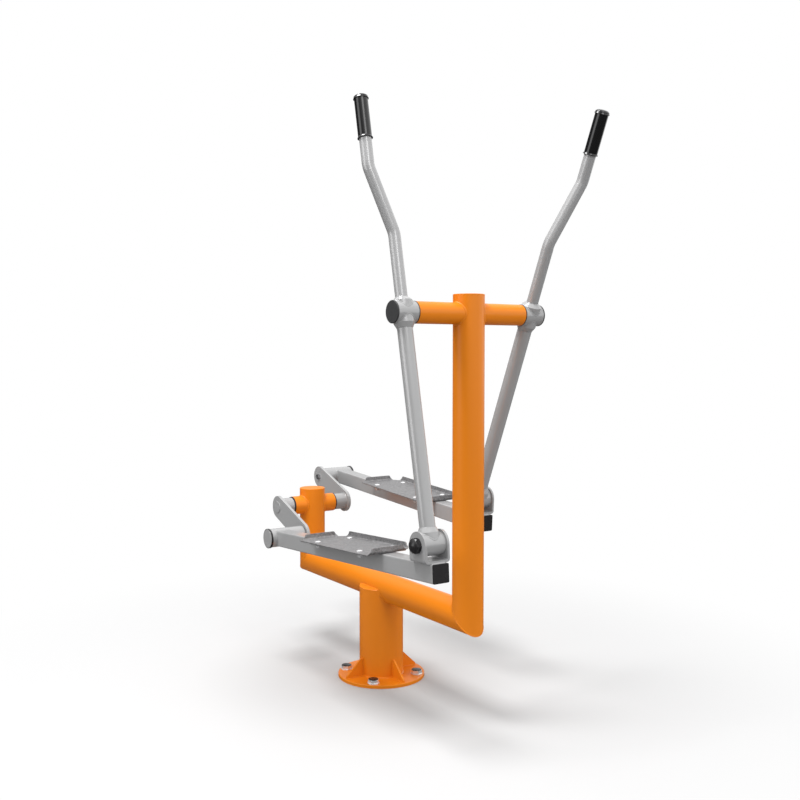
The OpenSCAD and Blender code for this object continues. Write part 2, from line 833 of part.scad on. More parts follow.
// A square tube welded to the rear hub, with four lugs under the foot plate's bolts
module treadle_bar(side) {
    middle = plate_start + plate_length / 2;
    color(silver) at_crank_pin(side) on_side(side) translate([0, arm_plane, 0]) difference() {
        union() {
            rotate([90, 0, 90]) linear_extrude(bar_end - bar_plug_face)
                rounded_square(bar_side, bar_corner_r);
            for (x = [middle - plate_bolt_half_x, middle + plate_bolt_half_x])
                translate([x - lug_half, -lug_reach, bar_top - lug_thick])
                    cube([2 * lug_half, 2 * lug_reach, lug_thick]);
        }
        translate([-overrun, 0, 0]) rotate([90, 0, 90]) linear_extrude(bar_end + 2 * overrun)
            square(bar_inner, center = true);
        across(-bar_side, bar_side, hub_d / 2 + weld_fit);
        at_plate_bolts() translate([0, 0, bar_top - lug_thick - overrun])
            cylinder(h = lug_thick + 2 * overrun, d = plate_bolt_hole_d);
    }
}

module at_plate_bolts() {
    middle = plate_start + plate_length / 2;
    for (x = [-plate_bolt_half_x, plate_bolt_half_x])
        for (y = [-plate_bolt_half_y, plate_bolt_half_y]) translate([middle + x, y, 0]) children();
}

module right_treadle_bar() treadle_bar(RIGHT);

module left_treadle_bar() treadle_bar(LEFT);

// A bent plate, U-shaped from the front, with round ears
module clevis(side) {
    color(silver) at_crank_pin(side) on_side(side) translate([pivot_reach, arm_plane, bar_top])
        difference() {
            intersection() {
                translate([-clevis_ear_r, 0, 0]) rotate([90, 0, 90])
                    linear_extrude(2 * clevis_ear_r) clevis_section();
                translate([0, clevis_width / 2, 0]) rotate([90, 0, 0])
                    linear_extrude(clevis_width) clevis_side();
            }
            translate([0, 0, pivot_rise - bar_top])
                across(-clevis_width, clevis_width, pivot_bolt_d / 2 + ear_hole_fit);
        }
}

// The U of the clevis, seen along the bar
module clevis_section() {
    height = pivot_rise - bar_top + clevis_ear_r;
    half = clevis_width / 2;
    difference() {
        u_outline(half, 0, height, clevis_bend_r);
        u_outline(half - clevis_thick, clevis_thick, height + overrun, clevis_root_r);
    }
}

module u_outline(half, low, high, corner_r) {
    translate([-half, low + corner_r]) square([2 * half, high - low - corner_r]);
    translate([-half + corner_r, low]) square([2 * half - 2 * corner_r, corner_r]);
    for (x = [-half + corner_r, half - corner_r]) translate([x, low + corner_r]) circle(r = corner_r);
}

// An ear seen from the side: straight up, with a round top about the pivot
module clevis_side() {
    rise = pivot_rise - bar_top;
    translate([-clevis_ear_r, 0]) square([2 * clevis_ear_r, rise]);
    translate([0, rise]) circle(r = clevis_ear_r);
}

module right_clevis() clevis(RIGHT);

module left_clevis() clevis(LEFT);

module rear_hub(side) {
    color(silver) at_crank_pin(side) on_side(side) difference() {
        across(rear_hub_inner, rear_hub_outer, hub_d / 2);
        across(rear_hub_inner - overrun, rear_hub_outer + overrun, hub_bearing_d / 2 - bearing_shoulder);
        across(rear_hub_inner - overrun, rear_hub_inner + rear_bearing_inset + hub_bearing_width,
            hub_bearing_d / 2);
        across(rear_bearing_out - hub_bearing_width, rear_hub_outer + overrun, hub_bearing_d / 2);
    }
}

// Outer face of the rear hub's outer bearing, which leaves room for the axle's head
rear_bearing_out = rear_hub_outer - rear_plug_length - rear_axle_head - run_gap;

module right_rear_hub() rear_hub(RIGHT);

module left_rear_hub() rear_hub(LEFT);

// The black end cap of the rear hub, with a plug in the bore and a recess for the disc
module rear_hub_cap(side) {
    ring_out = rear_hub_outer + rear_cap_ring;
    color(black) at_crank_pin(side) on_side(side) difference() {
        union() {
            across(rear_hub_outer, ring_out, rear_cap_d / 2);
            across(rear_hub_outer - rear_plug_length, rear_hub_outer, hub_bearing_d / 2 - seat_fit);
        }
        across(ring_out - rear_cap_recess, ring_out + overrun, rear_cap_face_d / 2);
    }
}

module right_rear_hub_cap() rear_hub_cap(RIGHT);

module left_rear_hub_cap() rear_hub_cap(LEFT);

module rear_hub_disc(side) {
    floor_y = rear_hub_outer + rear_cap_ring - rear_cap_recess;
    color(silver) at_crank_pin(side) on_side(side) translate([0, floor_y, 0]) rotate([-90, 0, 0])
        chamfered_disc(rear_cap_face_d / 2 - weld_fit, rear_cap_recess + rear_cap_face, cap_edge);
}

module right_rear_hub_disc() rear_hub_disc(RIGHT);

module left_rear_hub_disc() rear_hub_disc(LEFT);

// The stub axle in the rear hub. The crank's pin screw goes into its inner end
module rear_axle(side) {
    color(steel) at_crank_pin(side) on_side(side) difference() {
        union() {
            across(rear_hub_inner, rear_bearing_out + rear_axle_head, axle_d / 2);
            across(rear_bearing_out, rear_bearing_out + rear_axle_head, rear_axle_head_d / 2);
        }
        across(rear_hub_inner - overrun, rear_hub_inner + rear_axle_thread_depth, rear_axle_thread_d / 2);
    }
}

module right_rear_axle() rear_axle(RIGHT);

module left_rear_axle() rear_axle(LEFT);

module rear_bearings(side) {
    color(steel) at_crank_pin(side) on_side(side)
        for (y = [rear_hub_inner + rear_bearing_inset, rear_bearing_out - hub_bearing_width])
            bearing(y, hub_bearing_width, axle_d / 2 + running_fit, hub_bearing_d / 2 - seat_fit);
}

module right_rear_bearings() rear_bearings(RIGHT);

module left_rear_bearings() rear_bearings(LEFT);

module bar_plug(side) {
    color(black) at_crank_pin(side) on_side(side)
        translate([bar_end - bar_plug_face, arm_plane, 0]) rotate([90, 0, 90]) {
            linear_extrude(bar_plug_face) rounded_square(bar_side, bar_corner_r);
            translate([0, 0, -bar_plug_depth]) linear_extrude(bar_plug_depth + bar_plug_face / 2)
                square(bar_inner - 2 * seat_fit, center = true);
        }
}

module right_bar_plug() bar_plug(RIGHT);

module left_bar_plug() bar_plug(LEFT);

// The folded tray. Both sides have the same one, with its side edge towards +Y
module foot_plate(side) {
    color(galvanised) at_crank_pin(side) translate([plate_start, side * arm_plane, bar_top])
        difference() {
            union() {
                linear_extrude(plate_thick) plate_flat();
                end_lip();
                translate([plate_length, 0, 0]) mirror([1, 0, 0]) end_lip();
                side_lip();
            }
            translate([-plate_start, 0, 0]) at_plate_bolts() translate([0, 0, -overrun])
                cylinder(h = plate_thick + 2 * overrun, d = plate_bolt_hole_d);
        }
}

// The flat part between the folds. It is cut at the corners between two raised edges, and runs
// out to its full length along the open side
module plate_flat() {
    half = plate_width / 2;
    low = fold_outer;
    high = plate_length - fold_outer;
    tab = -half + open_tab;
    polygon([
        [sheet_corner, -half], [plate_length - sheet_corner, -half], [plate_length, -half + sheet_corner],
        [plate_length, tab], [high, tab],
        [high, half - fold_outer - corner_cut], [high - corner_cut, half - fold_outer],
        [low + corner_cut, half - fold_outer], [low, half - fold_outer - corner_cut],
        [low, tab], [0, tab], [0, -half + sheet_corner]
    ]);
}

// The section of a fold and its raised edge: x inwards from the outer face, y up
module lip_section() {
    translate([0, fold_outer]) square([plate_thick, plate_thick + lip_height - fold_outer]);
    intersection() {
        translate([fold_outer, fold_outer]) ring(fold_outer, plate_thick);
        square(fold_outer);
    }
}

// A raised edge seen square on, from a to b, with slanted ends and rounded upper corners
module lip_outline(a, b) {
    top = plate_thick + lip_height;
    slant = corner_cut - lip_round;
    polygon(concat(
        [[b, -overrun], [a, -overrun], [a, plate_thick]],
        [for (t = [0:15:90]) [a + slant + lip_round * (1 - cos(t)), top - lip_round * (1 - sin(t))]],
        [for (t = [0:15:90]) [b - slant - lip_round * (1 - sin(t)), top - lip_round * (1 - cos(t))]],
        [[b, plate_thick]]
    ));
}

// The raised edge at the plate's rear end
module end_lip() {
    half = plate_width / 2;
    intersection() {
        translate([0, half, 0]) rotate([90, 0, 0]) linear_extrude(plate_width) lip_section();
        rotate([90, 0, 90]) linear_extrude(fold_outer)
            lip_outline(-half + open_tab + tab_slit, half - fold_outer - corner_cut);
    }
}

// The raised edge along the plate's +Y side
module side_lip() {
    half = plate_width / 2;
    intersection() {
        translate([0, half, 0]) rotate([90, 0, 90]) linear_extrude(plate_length)
            mirror([1, 0]) lip_section();
        translate([0, half, 0]) rotate([90, 0, 0]) linear_extrude(fold_outer)
            lip_outline(fold_outer + corner_cut, plate_length - fold_outer - corner_cut);
    }
}

module right_foot_plate() foot_plate(RIGHT);

module left_foot_plate() foot_plate(LEFT);

// Four bolts through the plate and the bar's lugs, each one solid with its nut
module plate_bolts(side) {
    under = bar_top - lug_thick;
    color(zinc) at_crank_pin(side) translate([0, side * arm_plane, 0]) at_plate_bolts() {
        translate([0, 0, plate_top]) intersection() {
            cylinder(h = plate_head, d = plate_head_d);
            translate([0, 0, plate_head - plate_head_d]) sphere(r = plate_head_d);
        }
        translate([0, 0, under - plate_nut - plate_bolt_tail])
            cylinder(h = plate_top + plate_head / 2 - under + plate_nut + plate_bolt_tail,
                d = plate_bolt_d);
        translate([0, 0, under - plate_nut])
            cylinder(h = plate_nut, r = plate_nut_af / 2 / cos(30), $fn = 6);
    }
}

module right_plate_bolts() plate_bolts(RIGHT);

module left_plate_bolts() plate_bolts(LEFT);

// The foot pivot bolt, with its head on the inner ear and its nut on the outer one
module pivot_bolt(side) {
    inner = arm_plane - clevis_width / 2;
    outer = arm_plane + clevis_width / 2;
    color(steel) at_crank_pin(side) on_side(side) translate([pivot_reach, 0, pivot_rise]) {
        hex_across(inner - pivot_head, inner, pivot_head_af);
        across(inner - pivot_head / 2, outer + pivot_nut_height, pivot_bolt_d / 2);
        hex_across(outer, outer + pivot_nut_height, pivot_nut_af);
    }
}

module right_pivot_bolt() pivot_bolt(RIGHT);

module left_pivot_bolt() pivot_bolt(LEFT);

// The black cap over the pivot nut: a round flange, then a six-sided dome, hollow inside
module pivot_cap(side) {
    outer = arm_plane + clevis_width / 2;
    room = pivot_nut_height + pivot_cap_clear;
    color(black) at_crank_pin(side) on_side(side) translate([pivot_reach, 0, pivot_rise])
        difference() {
            union() {
                across(outer, outer + pivot_cap_flange, pivot_cap_d / 2);
                intersection() {
                    hex_across(outer, outer + pivot_cap_height, pivot_cap_af);
                    translate([0, outer + pivot_cap_height - pivot_cap_ball_r, 0]) rotate([-90, 0, 0])
                        sphere(r = pivot_cap_ball_r);
                }
            }
            across(outer - overrun, outer + room, pivot_nut_af / 2 / cos(30) + pivot_cap_clear);
        }
}

module right_pivot_cap() pivot_cap(RIGHT);

module left_pivot_cap() pivot_cap(LEFT);

base_flange();
base_gussets();
pedestal_tube();
pedestal_top_plate();
frame_beam();
rear_post();
front_post();
post_caps();
handle_cross_tube();
handle_axle();
axle_end_screws();
crank_housing();
crank_bearings();
anchor_nuts();
anchor_washers();
crankshaft();
right_crank_arm();
left_crank_arm();
crank_caps();
crank_pin_screws();
right_arm_hub();
right_lower_arm();
right_handle_tube();
right_grip();
right_hub_cap();
right_hub_bearings();
right_foot_hub();
right_foot_bearings();
left_arm_hub();
left_lower_arm();
left_handle_tube();
left_grip();
left_hub_cap();
left_hub_bearings();
left_foot_hub();
left_foot_bearings();
right_treadle_bar();
right_clevis();
right_rear_hub();
right_rear_hub_cap();
right_rear_hub_disc();
right_rear_axle();
right_rear_bearings();
right_bar_plug();
right_foot_plate();
right_plate_bolts();
right_pivot_bolt();
right_pivot_cap();
left_treadle_bar();
left_clevis();
left_rear_hub();
left_rear_hub_cap();
left_rear_hub_disc();
left_rear_axle();
left_rear_bearings();
left_bar_plug();
left_foot_plate();
left_plate_bolts();
left_pivot_bolt();
left_pivot_cap();
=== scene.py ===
"""Finishes, weld beads, small trim and the studio for an outdoor cross trainer."""
import json
import math

import bmesh
import bpy
import numpy as np
from bpy.props import FloatProperty, FloatVectorProperty, IntProperty, PointerProperty
from bpy.types import Operator, Panel, PropertyGroup
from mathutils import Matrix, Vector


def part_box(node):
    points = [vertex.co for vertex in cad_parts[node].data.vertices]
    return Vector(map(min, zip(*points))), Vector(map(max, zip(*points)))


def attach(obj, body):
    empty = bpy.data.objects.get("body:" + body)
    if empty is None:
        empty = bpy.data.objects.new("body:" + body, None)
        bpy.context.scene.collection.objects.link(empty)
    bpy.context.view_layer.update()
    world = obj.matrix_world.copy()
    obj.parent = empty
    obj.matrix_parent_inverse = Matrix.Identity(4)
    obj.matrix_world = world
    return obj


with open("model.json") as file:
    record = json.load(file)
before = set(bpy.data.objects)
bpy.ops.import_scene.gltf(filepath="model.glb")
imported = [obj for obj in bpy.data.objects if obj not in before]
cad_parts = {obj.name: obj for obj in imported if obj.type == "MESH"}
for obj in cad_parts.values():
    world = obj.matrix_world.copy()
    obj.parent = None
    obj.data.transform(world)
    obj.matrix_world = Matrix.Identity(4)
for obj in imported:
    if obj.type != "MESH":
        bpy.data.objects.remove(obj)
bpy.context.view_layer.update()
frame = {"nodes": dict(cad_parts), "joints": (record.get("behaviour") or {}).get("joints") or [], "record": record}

bl_info = {
    "name": "Outdoor cross trainer",
    "version": (1, 0, 0),
    "blender": (4, 5, 0),
    "location": "3D View > Sidebar > Trainer",
    "description": "Paints the trainer, adds its weld beads and builds the studio",
    "category": "Object",
}

SIDES = {"right": -1.0, "left": 1.0}


def joint_point(name):
    """The joint's stated point, in metres."""
    for joint in frame["joints"]:
        if joint["name"] == name:
            return np.array(joint["pos_m"], float)
    raise RuntimeError(f"the frame has no joint {name}")


# Settings


class TrainerPaints(PropertyGroup):
    """Colours of the finishes, linear."""

    orange: FloatVectorProperty(
        name="Orange", description="Powder coat of the fixed frame", subtype="COLOR",
        default=(0.76, 0.214, 0.008), min=0.0, max=1.0)
    silver: FloatVectorProperty(
        name="Silver", description="Powder coat of the moving tubes", subtype="COLOR",
        default=(0.365, 0.365, 0.367), min=0.0, max=1.0)
    sheet: FloatVectorProperty(
        name="Sheet", description="Galvanised sheet of the foot plates", subtype="COLOR",
        default=(0.27, 0.266, 0.27), min=0.0, max=1.0)
    zinc: FloatVectorProperty(
        name="Zinc", description="Plated screws, nuts and washers", subtype="COLOR",
        default=(0.84, 0.84, 0.85), min=0.0, max=1.0)
    steel: FloatVectorProperty(
        name="Steel", description="Machined shafts and bearings", subtype="COLOR",
        default=(0.5, 0.5, 0.51), min=0.0, max=1.0)
    rubber: FloatVectorProperty(
        name="Rubber", description="Handle grips", subtype="COLOR",
        default=(0.006, 0.006, 0.0065), min=0.0, max=1.0)
    plastic: FloatVectorProperty(
        name="Plastic", description="Plugs and bolt caps", subtype="COLOR",
        default=(0.018, 0.017, 0.018), min=0.0, max=1.0)
    charcoal: FloatVectorProperty(
        name="Charcoal", description="Caps of the arm hubs", subtype="COLOR",
        default=(0.038, 0.038, 0.039), min=0.0, max=1.0)


class TrainerWelds(PropertyGroup):
    """Sizes of the weld beads."""

    frame_leg: FloatProperty(
        name="Frame bead", description="Leg of the beads on the frame", default=0.0032,
        min=0.001, max=0.012, unit="LENGTH")
    arm_leg: FloatProperty(
        name="Arm bead", description="Leg of the beads on arms and treadles", default=0.0018,
        min=0.001, max=0.008, unit="LENGTH")
    ripple: FloatProperty(
        name="Ripple pitch", description="Distance between two ripples", default=0.0024,
        min=0.001, max=0.01, unit="LENGTH")
    across: IntProperty(
        name="Steps across", description="Grid steps across a bead", default=6, min=3, max=24)
    seam_leg: FloatProperty(
        name="Seam reach", description="Reach of a ground mitre seam to either side",
        default=0.004, min=0.001, max=0.01, unit="LENGTH")
    seam_height: FloatProperty(
        name="Seam height", description="Height of a ground mitre seam", default=0.0007,
        min=0.0001, max=0.003, unit="LENGTH")


class TrainerTrim(PropertyGroup):
    """Sizes of the small trim."""

    lid_radius: FloatProperty(
        name="Lid radius", description="Radius of the black lids on the anchor nuts",
        default=0.0155, min=0.005, max=0.02, unit="LENGTH")
    lid_height: FloatProperty(
        name="Lid height", description="Height of the black lids on the anchor nuts",
        default=0.0014, min=0.0003, max=0.005, unit="LENGTH")
    seal_width: FloatProperty(
        name="Seal width", description="Width of the seals between arms and cross tube",
        default=0.0024, min=0.001, max=0.006, unit="LENGTH")
    seal_rise: FloatProperty(
        name="Seal rise", description="Height of the seals above the hubs",
        default=0.0006, min=0.0003, max=0.002, unit="LENGTH")


class TrainerStudio(PropertyGroup):
    """Light, floor and camera."""

    top_power: FloatProperty(
        name="Top", description="Power of the lamp overhead", default=96.0, min=0.0, unit="POWER")
    front_power: FloatProperty(
        name="Front", description="Power of the lamp in front of the trainer", default=24.0,
        min=0.0, unit="POWER")
    panel_glow: FloatProperty(
        name="Panel", description="Brightness of the upright light panel", default=2.5,
        min=0.0, max=8.0)
    ceiling_glow: FloatProperty(
        name="Ceiling", description="Brightness of the ceiling", default=1.15,
        min=0.0, max=4.0)
    floor_colour: FloatVectorProperty(
        name="Floor", description="Colour of the floor", subtype="COLOR",
        default=(0.53, 0.53, 0.532), min=0.0, max=1.0)
    floor_lift: FloatProperty(
        name="Floor lift", description="White that the camera sees added to the floor",
        default=0.04, min=0.0, max=1.0)
    # Painted shade: these three settings darken the floor's colour close to the base, standing in for the
    # trainer's shadow there.
    floor_painted_shade: FloatProperty(
        name="Floor halo", description="Tone of the floor close to the base", default=0.84,
        min=0.0, max=1.0)
    painted_shade_from: FloatProperty(
        name="Halo from", description="Distance at which the floor's tone begins to rise",
        default=0.2, min=0.0, unit="LENGTH")
    painted_shade_to: FloatProperty(
        name="Halo to", description="Distance at which the floor has its full tone", default=0.65,
        min=0.1, unit="LENGTH")
    near_bounce: FloatProperty(
        name="Near bounce", description="Share of the near floor's light that reaches the trainer",
        default=0.8, min=0.0, max=1.0)
    far_bounce: FloatProperty(
        name="Far bounce", description="Share of the far floor's light that reaches the trainer",
        default=0.32, min=0.0, max=1.0)
    floor_gloss: FloatProperty(
        name="Floor in gloss", description="Share of the floor's light that gloss shows",
        default=0.13, min=0.0, max=1.0)
    room_gloss: FloatProperty(
        name="Background in gloss", description="Share of the white background that gloss shows",
        default=0.03, min=0.0, max=1.0)
    floor_reach: FloatProperty(
        name="Floor reach", description="Distance from the trainer to the floor's sides",
        default=14.0, min=2.0, unit="LENGTH")
    fade_from: FloatProperty(
        name="Fade from", description="Distance at which the floor begins to turn white",
        default=0.5, min=0.1, unit="LENGTH")
    fade_to: FloatProperty(
        name="Fade to", description="Distance at which the floor is white", default=1.7,
        min=0.2, unit="LENGTH")
    lens: FloatProperty(
        name="Lens", description="Focal length of the camera in millimetres", default=43.36,
        min=10.0, max=200.0)


# Materials

GRAIN_RELIEF = 0.0004  # height of a coat's grain, in metres
CRYSTAL_SCALE = 250.0  # crystals of the galvanised sheet along a metre
CRYSTAL_TONES = (0.68, 1.34)  # darkest and palest crystal, as shares of the sheet's colour
GROUPS = {}  # shared node groups by name
FINISHES = {}  # materials by slot


def new_group(name, inputs, outputs):
    """A shader node group with the named float or colour sockets."""
    group = bpy.data.node_groups.new(name, "ShaderNodeTree")
    for label, kind, value in inputs:
        socket = group.interface.new_socket(label, in_out="INPUT", socket_type=kind)
        socket.default_value = value
    for label, kind in outputs:
        group.interface.new_socket(label, in_out="OUTPUT", socket_type=kind)
    return group, group.nodes.new("NodeGroupInput"), group.nodes.new("NodeGroupOutput")


def coat_grain():
    """Orange-peel relief of a sprayed coat: fine noise over the given normal."""
    group, given, out = new_group(
        "CoatGrain",
        [("Scale", "NodeSocketFloat", 600.0), ("Depth", "NodeSocketFloat", 0.1),
         ("Normal", "NodeSocketVector", (0.0, 0.0, 0.0))],
        [("Normal", "NodeSocketVector")])
    place = group.nodes.new("ShaderNodeTexCoord")
    noise = group.nodes.new("ShaderNodeTexNoise")
    noise.inputs["Detail"].default_value = 2.0
    bump = group.nodes.new("ShaderNodeBump")
    bump.inputs["Distance"].default_value = GRAIN_RELIEF
    link = group.links.new
    link(place.outputs["Object"], noise.inputs["Vector"])
    link(given.outputs["Scale"], noise.inputs["Scale"])
    link(noise.outputs["Fac"], bump.inputs["Height"])
    link(given.outputs["Depth"], bump.inputs["Strength"])
    link(given.outputs["Normal"], bump.inputs["Normal"])
    link(bump.outputs["Normal"], out.inputs["Normal"])
    return group


def tone_drift():
    """Slow change of tone and gloss over a surface: a colour between two tones and a roughness."""
    group, given, out = new_group(
        "ToneDrift",
        [("Scale", "NodeSocketFloat", 9.0), ("Tone A", "NodeSocketColor", (0.5, 0.5, 0.5, 1.0)),
         ("Tone B", "NodeSocketColor", (0.4, 0.4, 0.4, 1.0)),
         ("Rough low", "NodeSocketFloat", 0.3), ("Rough high", "NodeSocketFloat", 0.4)],
        [("Color", "NodeSocketColor"), ("Roughness", "NodeSocketFloat")])
    place = group.nodes.new("ShaderNodeTexCoord")
    noise = group.nodes.new("ShaderNodeTexNoise")
    noise.inputs["Detail"].default_value = 5.0
    noise.inputs["Roughness"].default_value = 0.6
    mix = group.nodes.new("ShaderNodeMix")
    mix.data_type = "RGBA"
    spread = group.nodes.new("ShaderNodeMapRange")
    spread.inputs["From Min"].default_value = 0.3
    spread.inputs["From Max"].default_value = 0.7
    link = group.links.new
    link(place.outputs["Object"], noise.inputs["Vector"])
    link(given.outputs["Scale"], noise.inputs["Scale"])
    link(noise.outputs["Fac"], mix.inputs["Factor"])
    link(given.outputs["Tone A"], mix.inputs["A"])
    link(given.outputs["Tone B"], mix.inputs["B"])
    link(noise.outputs["Fac"], spread.inputs["Value"])
    link(given.outputs["Rough low"], spread.inputs["To Min"])
    link(given.outputs["Rough high"], spread.inputs["To Max"])
    link(mix.outputs["Result"], out.inputs["Color"])
    link(spread.outputs["Result"], out.inputs["Roughness"])
    return group


def shared(name):
    """The shared node group of that name, built at its first use."""
    makers = {"CoatGrain": coat_grain, "ToneDrift": tone_drift}
    if name not in GROUPS:
        GROUPS[name] = makers[name]()
    return GROUPS[name]


def scaled(colour, by):
    """The colour times a factor, with full alpha."""
    return [channel * by for channel in colour] + [1.0]


def finish_material(name, colour, drift=0.94, rough=(0.3, 0.4), metallic=0.0, specular=0.5,
                    grain=(600.0, 0.1), edge=0.0008, drift_scale=9.0):
    """A finish: its colour drifts from full tone to the drift's share of it, its roughness
    drifts between two values, and it has a grain of the given (scale, depth). Edges are shaded
    as if rounded by the edge radius."""
    material = bpy.data.materials.new(name)
    material.use_nodes = True
    nodes, link = material.node_tree.nodes, material.node_tree.links.new
    shader = nodes["Principled BSDF"]
    shader.inputs["Metallic"].default_value = metallic
    shader.inputs["Specular IOR Level"].default_value = specular
    tone = nodes.new("ShaderNodeGroup")
    tone.node_tree = shared("ToneDrift")
    tone.inputs["Scale"].default_value = drift_scale
    tone.inputs["Tone A"].default_value = scaled(colour, 1.0)
    tone.inputs["Tone B"].default_value = scaled(colour, drift)
    tone.inputs["Rough low"].default_value = rough[0]
    tone.inputs["Rough high"].default_value = rough[1]
    link(tone.outputs["Color"], shader.inputs["Base Color"])
    link(tone.outputs["Roughness"], shader.inputs["Roughness"])
    relief = nodes.new("ShaderNodeGroup")
    relief.node_tree = shared("CoatGrain")
    relief.inputs["Scale"].default_value = grain[0]
    relief.inputs["Depth"].default_value = grain[1]
    bevel = nodes.new("ShaderNodeBevel")
    bevel.samples = 4
    bevel.inputs["Radius"].default_value = edge
    link(bevel.outputs["Normal"], relief.inputs["Normal"])
    link(relief.outputs["Normal"], shader.inputs["Normal"])
    return material


def galvanised_material(colour):
    """Hot-dip galvanised sheet: small crystals of different tone."""
    material = finish_material("GalvanisedSheet", colour, metallic=0.75, rough=(0.42, 0.6),
                               grain=(900.0, 0.25), drift=0.7, drift_scale=30.0)
    nodes, link = material.node_tree.nodes, material.node_tree.links.new
    shader = nodes["Principled BSDF"]
    place = nodes.new("ShaderNodeTexCoord")
    crystals = nodes.new("ShaderNodeTexVoronoi")
    crystals.inputs["Scale"].default_value = CRYSTAL_SCALE
    ramp = nodes.new("ShaderNodeValToRGB")
    for element, tone in zip(ramp.color_ramp.elements, CRYSTAL_TONES):
        element.color = scaled(colour, tone)
    link(place.outputs["Object"], crystals.inputs["Vector"])
    link(crystals.outputs["Color"], ramp.inputs["Fac"])
    link(ramp.outputs["Color"], shader.inputs["Base Color"])
    return material


def make_finishes(paints):
    """One material for each of the record's slots."""
    return {
        "orange_powder_coat": finish_material(
            "OrangePowderCoat", paints.orange, drift=0.95, rough=(0.30, 0.36),
            grain=(420.0, 0.05), specular=0.25),
        "silver_powder_coat": finish_material(
            "SilverPowderCoat", paints.silver, drift=0.95, rough=(0.17, 0.21), metallic=0.12,
            grain=(450.0, 0.012)),
        "galvanised_sheet": galvanised_material(paints.sheet),
        "zinc_plate": finish_material(
            "ZincPlate", paints.zinc, drift=0.9, rough=(0.16, 0.26), metallic=0.55,
            grain=(1500.0, 0.1), drift_scale=60.0, edge=0.0005),
        "bearing_steel": finish_material(
            "BearingSteel", paints.steel, drift=0.85, rough=(0.2, 0.3), metallic=1.0,
            grain=(1500.0, 0.1), edge=0.0004),
        "black_rubber_grip": finish_material(
            "GripRubber", paints.rubber, drift=0.7, rough=(0.12, 0.16), grain=(500.0, 0.012),
            edge=0.001),
        "black_rubber_seal": finish_material(
            "SealRubber", paints.rubber, drift=0.7, rough=(0.5, 0.6), grain=(900.0, 0.2)),
        "black_plastic": finish_material(
            "BlackPlastic", paints.plastic, drift=0.8, rough=(0.2, 0.3), grain=(800.0, 0.06),
            specular=0.4, edge=0.001),
        "charcoal_plastic": finish_material(
            "CharcoalPlastic", paints.charcoal, drift=0.85, rough=(0.45, 0.55),
            grain=(1100.0, 0.2), specular=0.35, edge=0.001),
    }


# Swept surfaces

ARCH_SHARE = 0.16  # height of a bead's arch, as a share of its leg
RIPPLE_SHARE = 0.25  # rise and fall of that height along the bead
BEAD_SINK = 0.25  # depth of a bead's hidden edge, as a share of its leg
SEAM_SINK = 0.4  # the same for a ground seam
STEPS_PER_RIPPLE = 5.0
FEWEST_STEPS = 24
SMOOTH_BELOW = math.radians(40.0)
OFF_AXIS = [0.3, 0.5, 0.8]  # a direction that no axis of the trainer has


def unit(rows):
    """Each row scaled to length one."""
    rows = np.asarray(rows, float)
    return rows / np.linalg.norm(rows, axis=-1, keepdims=True)


def along(path, closed):
    """The path's direction at each point, from its neighbours on both sides."""
    if closed:
        return unit(np.roll(path, -1, axis=0) - np.roll(path, 1, axis=0))
    return unit(np.gradient(path, axis=0))


def run_length(path):
    """The length of the path up to each point."""
    steps = np.linalg.norm(np.diff(path, axis=0), axis=1)
    return np.concatenate([[0.0], np.cumsum(steps)])


def grid_mesh(name, rings, closed):
    """A tube-like mesh through rings of points, given as an array of shape (along, round, 3).
    Neighbouring rings are joined by quads, and an open run is closed by a face at each end."""
    count, around = rings.shape[:2]
    last = count if closed else count - 1
    i, j = np.meshgrid(np.arange(last), np.arange(around), indexing="ij")
    i_next, j_next = (i + 1) % count, (j + 1) % around
    quads = np.stack([i * around + j, i * around + j_next,
                      i_next * around + j_next, i_next * around + j], axis=-1).reshape(-1, 4)
    faces = [tuple(q) for q in quads.tolist()]
    if not closed:
        faces.append(tuple(range(around - 1, -1, -1)))
        faces.append(tuple(range((count - 1) * around, count * around)))
    mesh = bpy.data.meshes.new(name)
    mesh.from_pydata(rings.reshape(-1, 3).tolist(), [], faces)
    return mesh


def turned_outwards(mesh):
    """The closed mesh with its faces turned outwards, shaded smooth where it bends little."""
    work = bmesh.new()
    work.from_mesh(mesh)
    bmesh.ops.recalc_face_normals(work, faces=work.faces)
    work.to_mesh(mesh)
    work.free()
    mesh.polygons.foreach_set("use_smooth", [True] * len(mesh.polygons))
    mesh.set_sharp_from_angle(angle=SMOOTH_BELOW)
    return mesh


def bead_mesh(name, path, normal_a, normal_b, leg, welds, closed=True):
    """A weld bead in the corner between surfaces A and B.

    At each point of the path the bead reaches one leg along A and one leg along B. Between the
    two it follows the chord plus a low arch, sin(pi s), whose height ripples along the path.
    A third point, sunk behind the corner, closes the section."""
    ahead = along(path, closed)
    lean_a = unit(np.cross(normal_a, ahead))
    lean_a *= np.sign(np.sum(lean_a * normal_b, axis=1, keepdims=True))
    lean_b = unit(np.cross(normal_b, ahead))
    lean_b *= np.sign(np.sum(lean_b * normal_a, axis=1, keepdims=True))
    across = np.linspace(0.0, 1.0, welds.across + 1)[None, :, None]
    ripple = 1.0 + RIPPLE_SHARE * np.sin(2.0 * np.pi * run_length(path) / welds.ripple)
    arch = ARCH_SHARE * leg * ripple[:, None, None] * np.sin(np.pi * across)
    chord = path[:, None] + leg * (lean_a[:, None] * (1.0 - across) + lean_b[:, None] * across)
    rings = chord + arch * unit(lean_a + lean_b)[:, None]
    sunk = path - BEAD_SINK * leg * unit(lean_a + lean_b)
    return grid_mesh(name, np.concatenate([rings, sunk[:, None]], axis=1), closed)


def joined(name, meshes, body, slot):
    """One piece from several meshes, with its slot's finish, riding on a body."""
    work = bmesh.new()
    for mesh in meshes:
        work.from_mesh(mesh)
        bpy.data.meshes.remove(mesh)
    whole = bpy.data.meshes.new(name)
    work.to_mesh(whole)
    work.free()
    piece = bpy.data.objects.new(name, turned_outwards(whole))
    bpy.context.collection.objects.link(piece)
    whole.materials.append(FINISHES[slot])
    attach(piece, body)


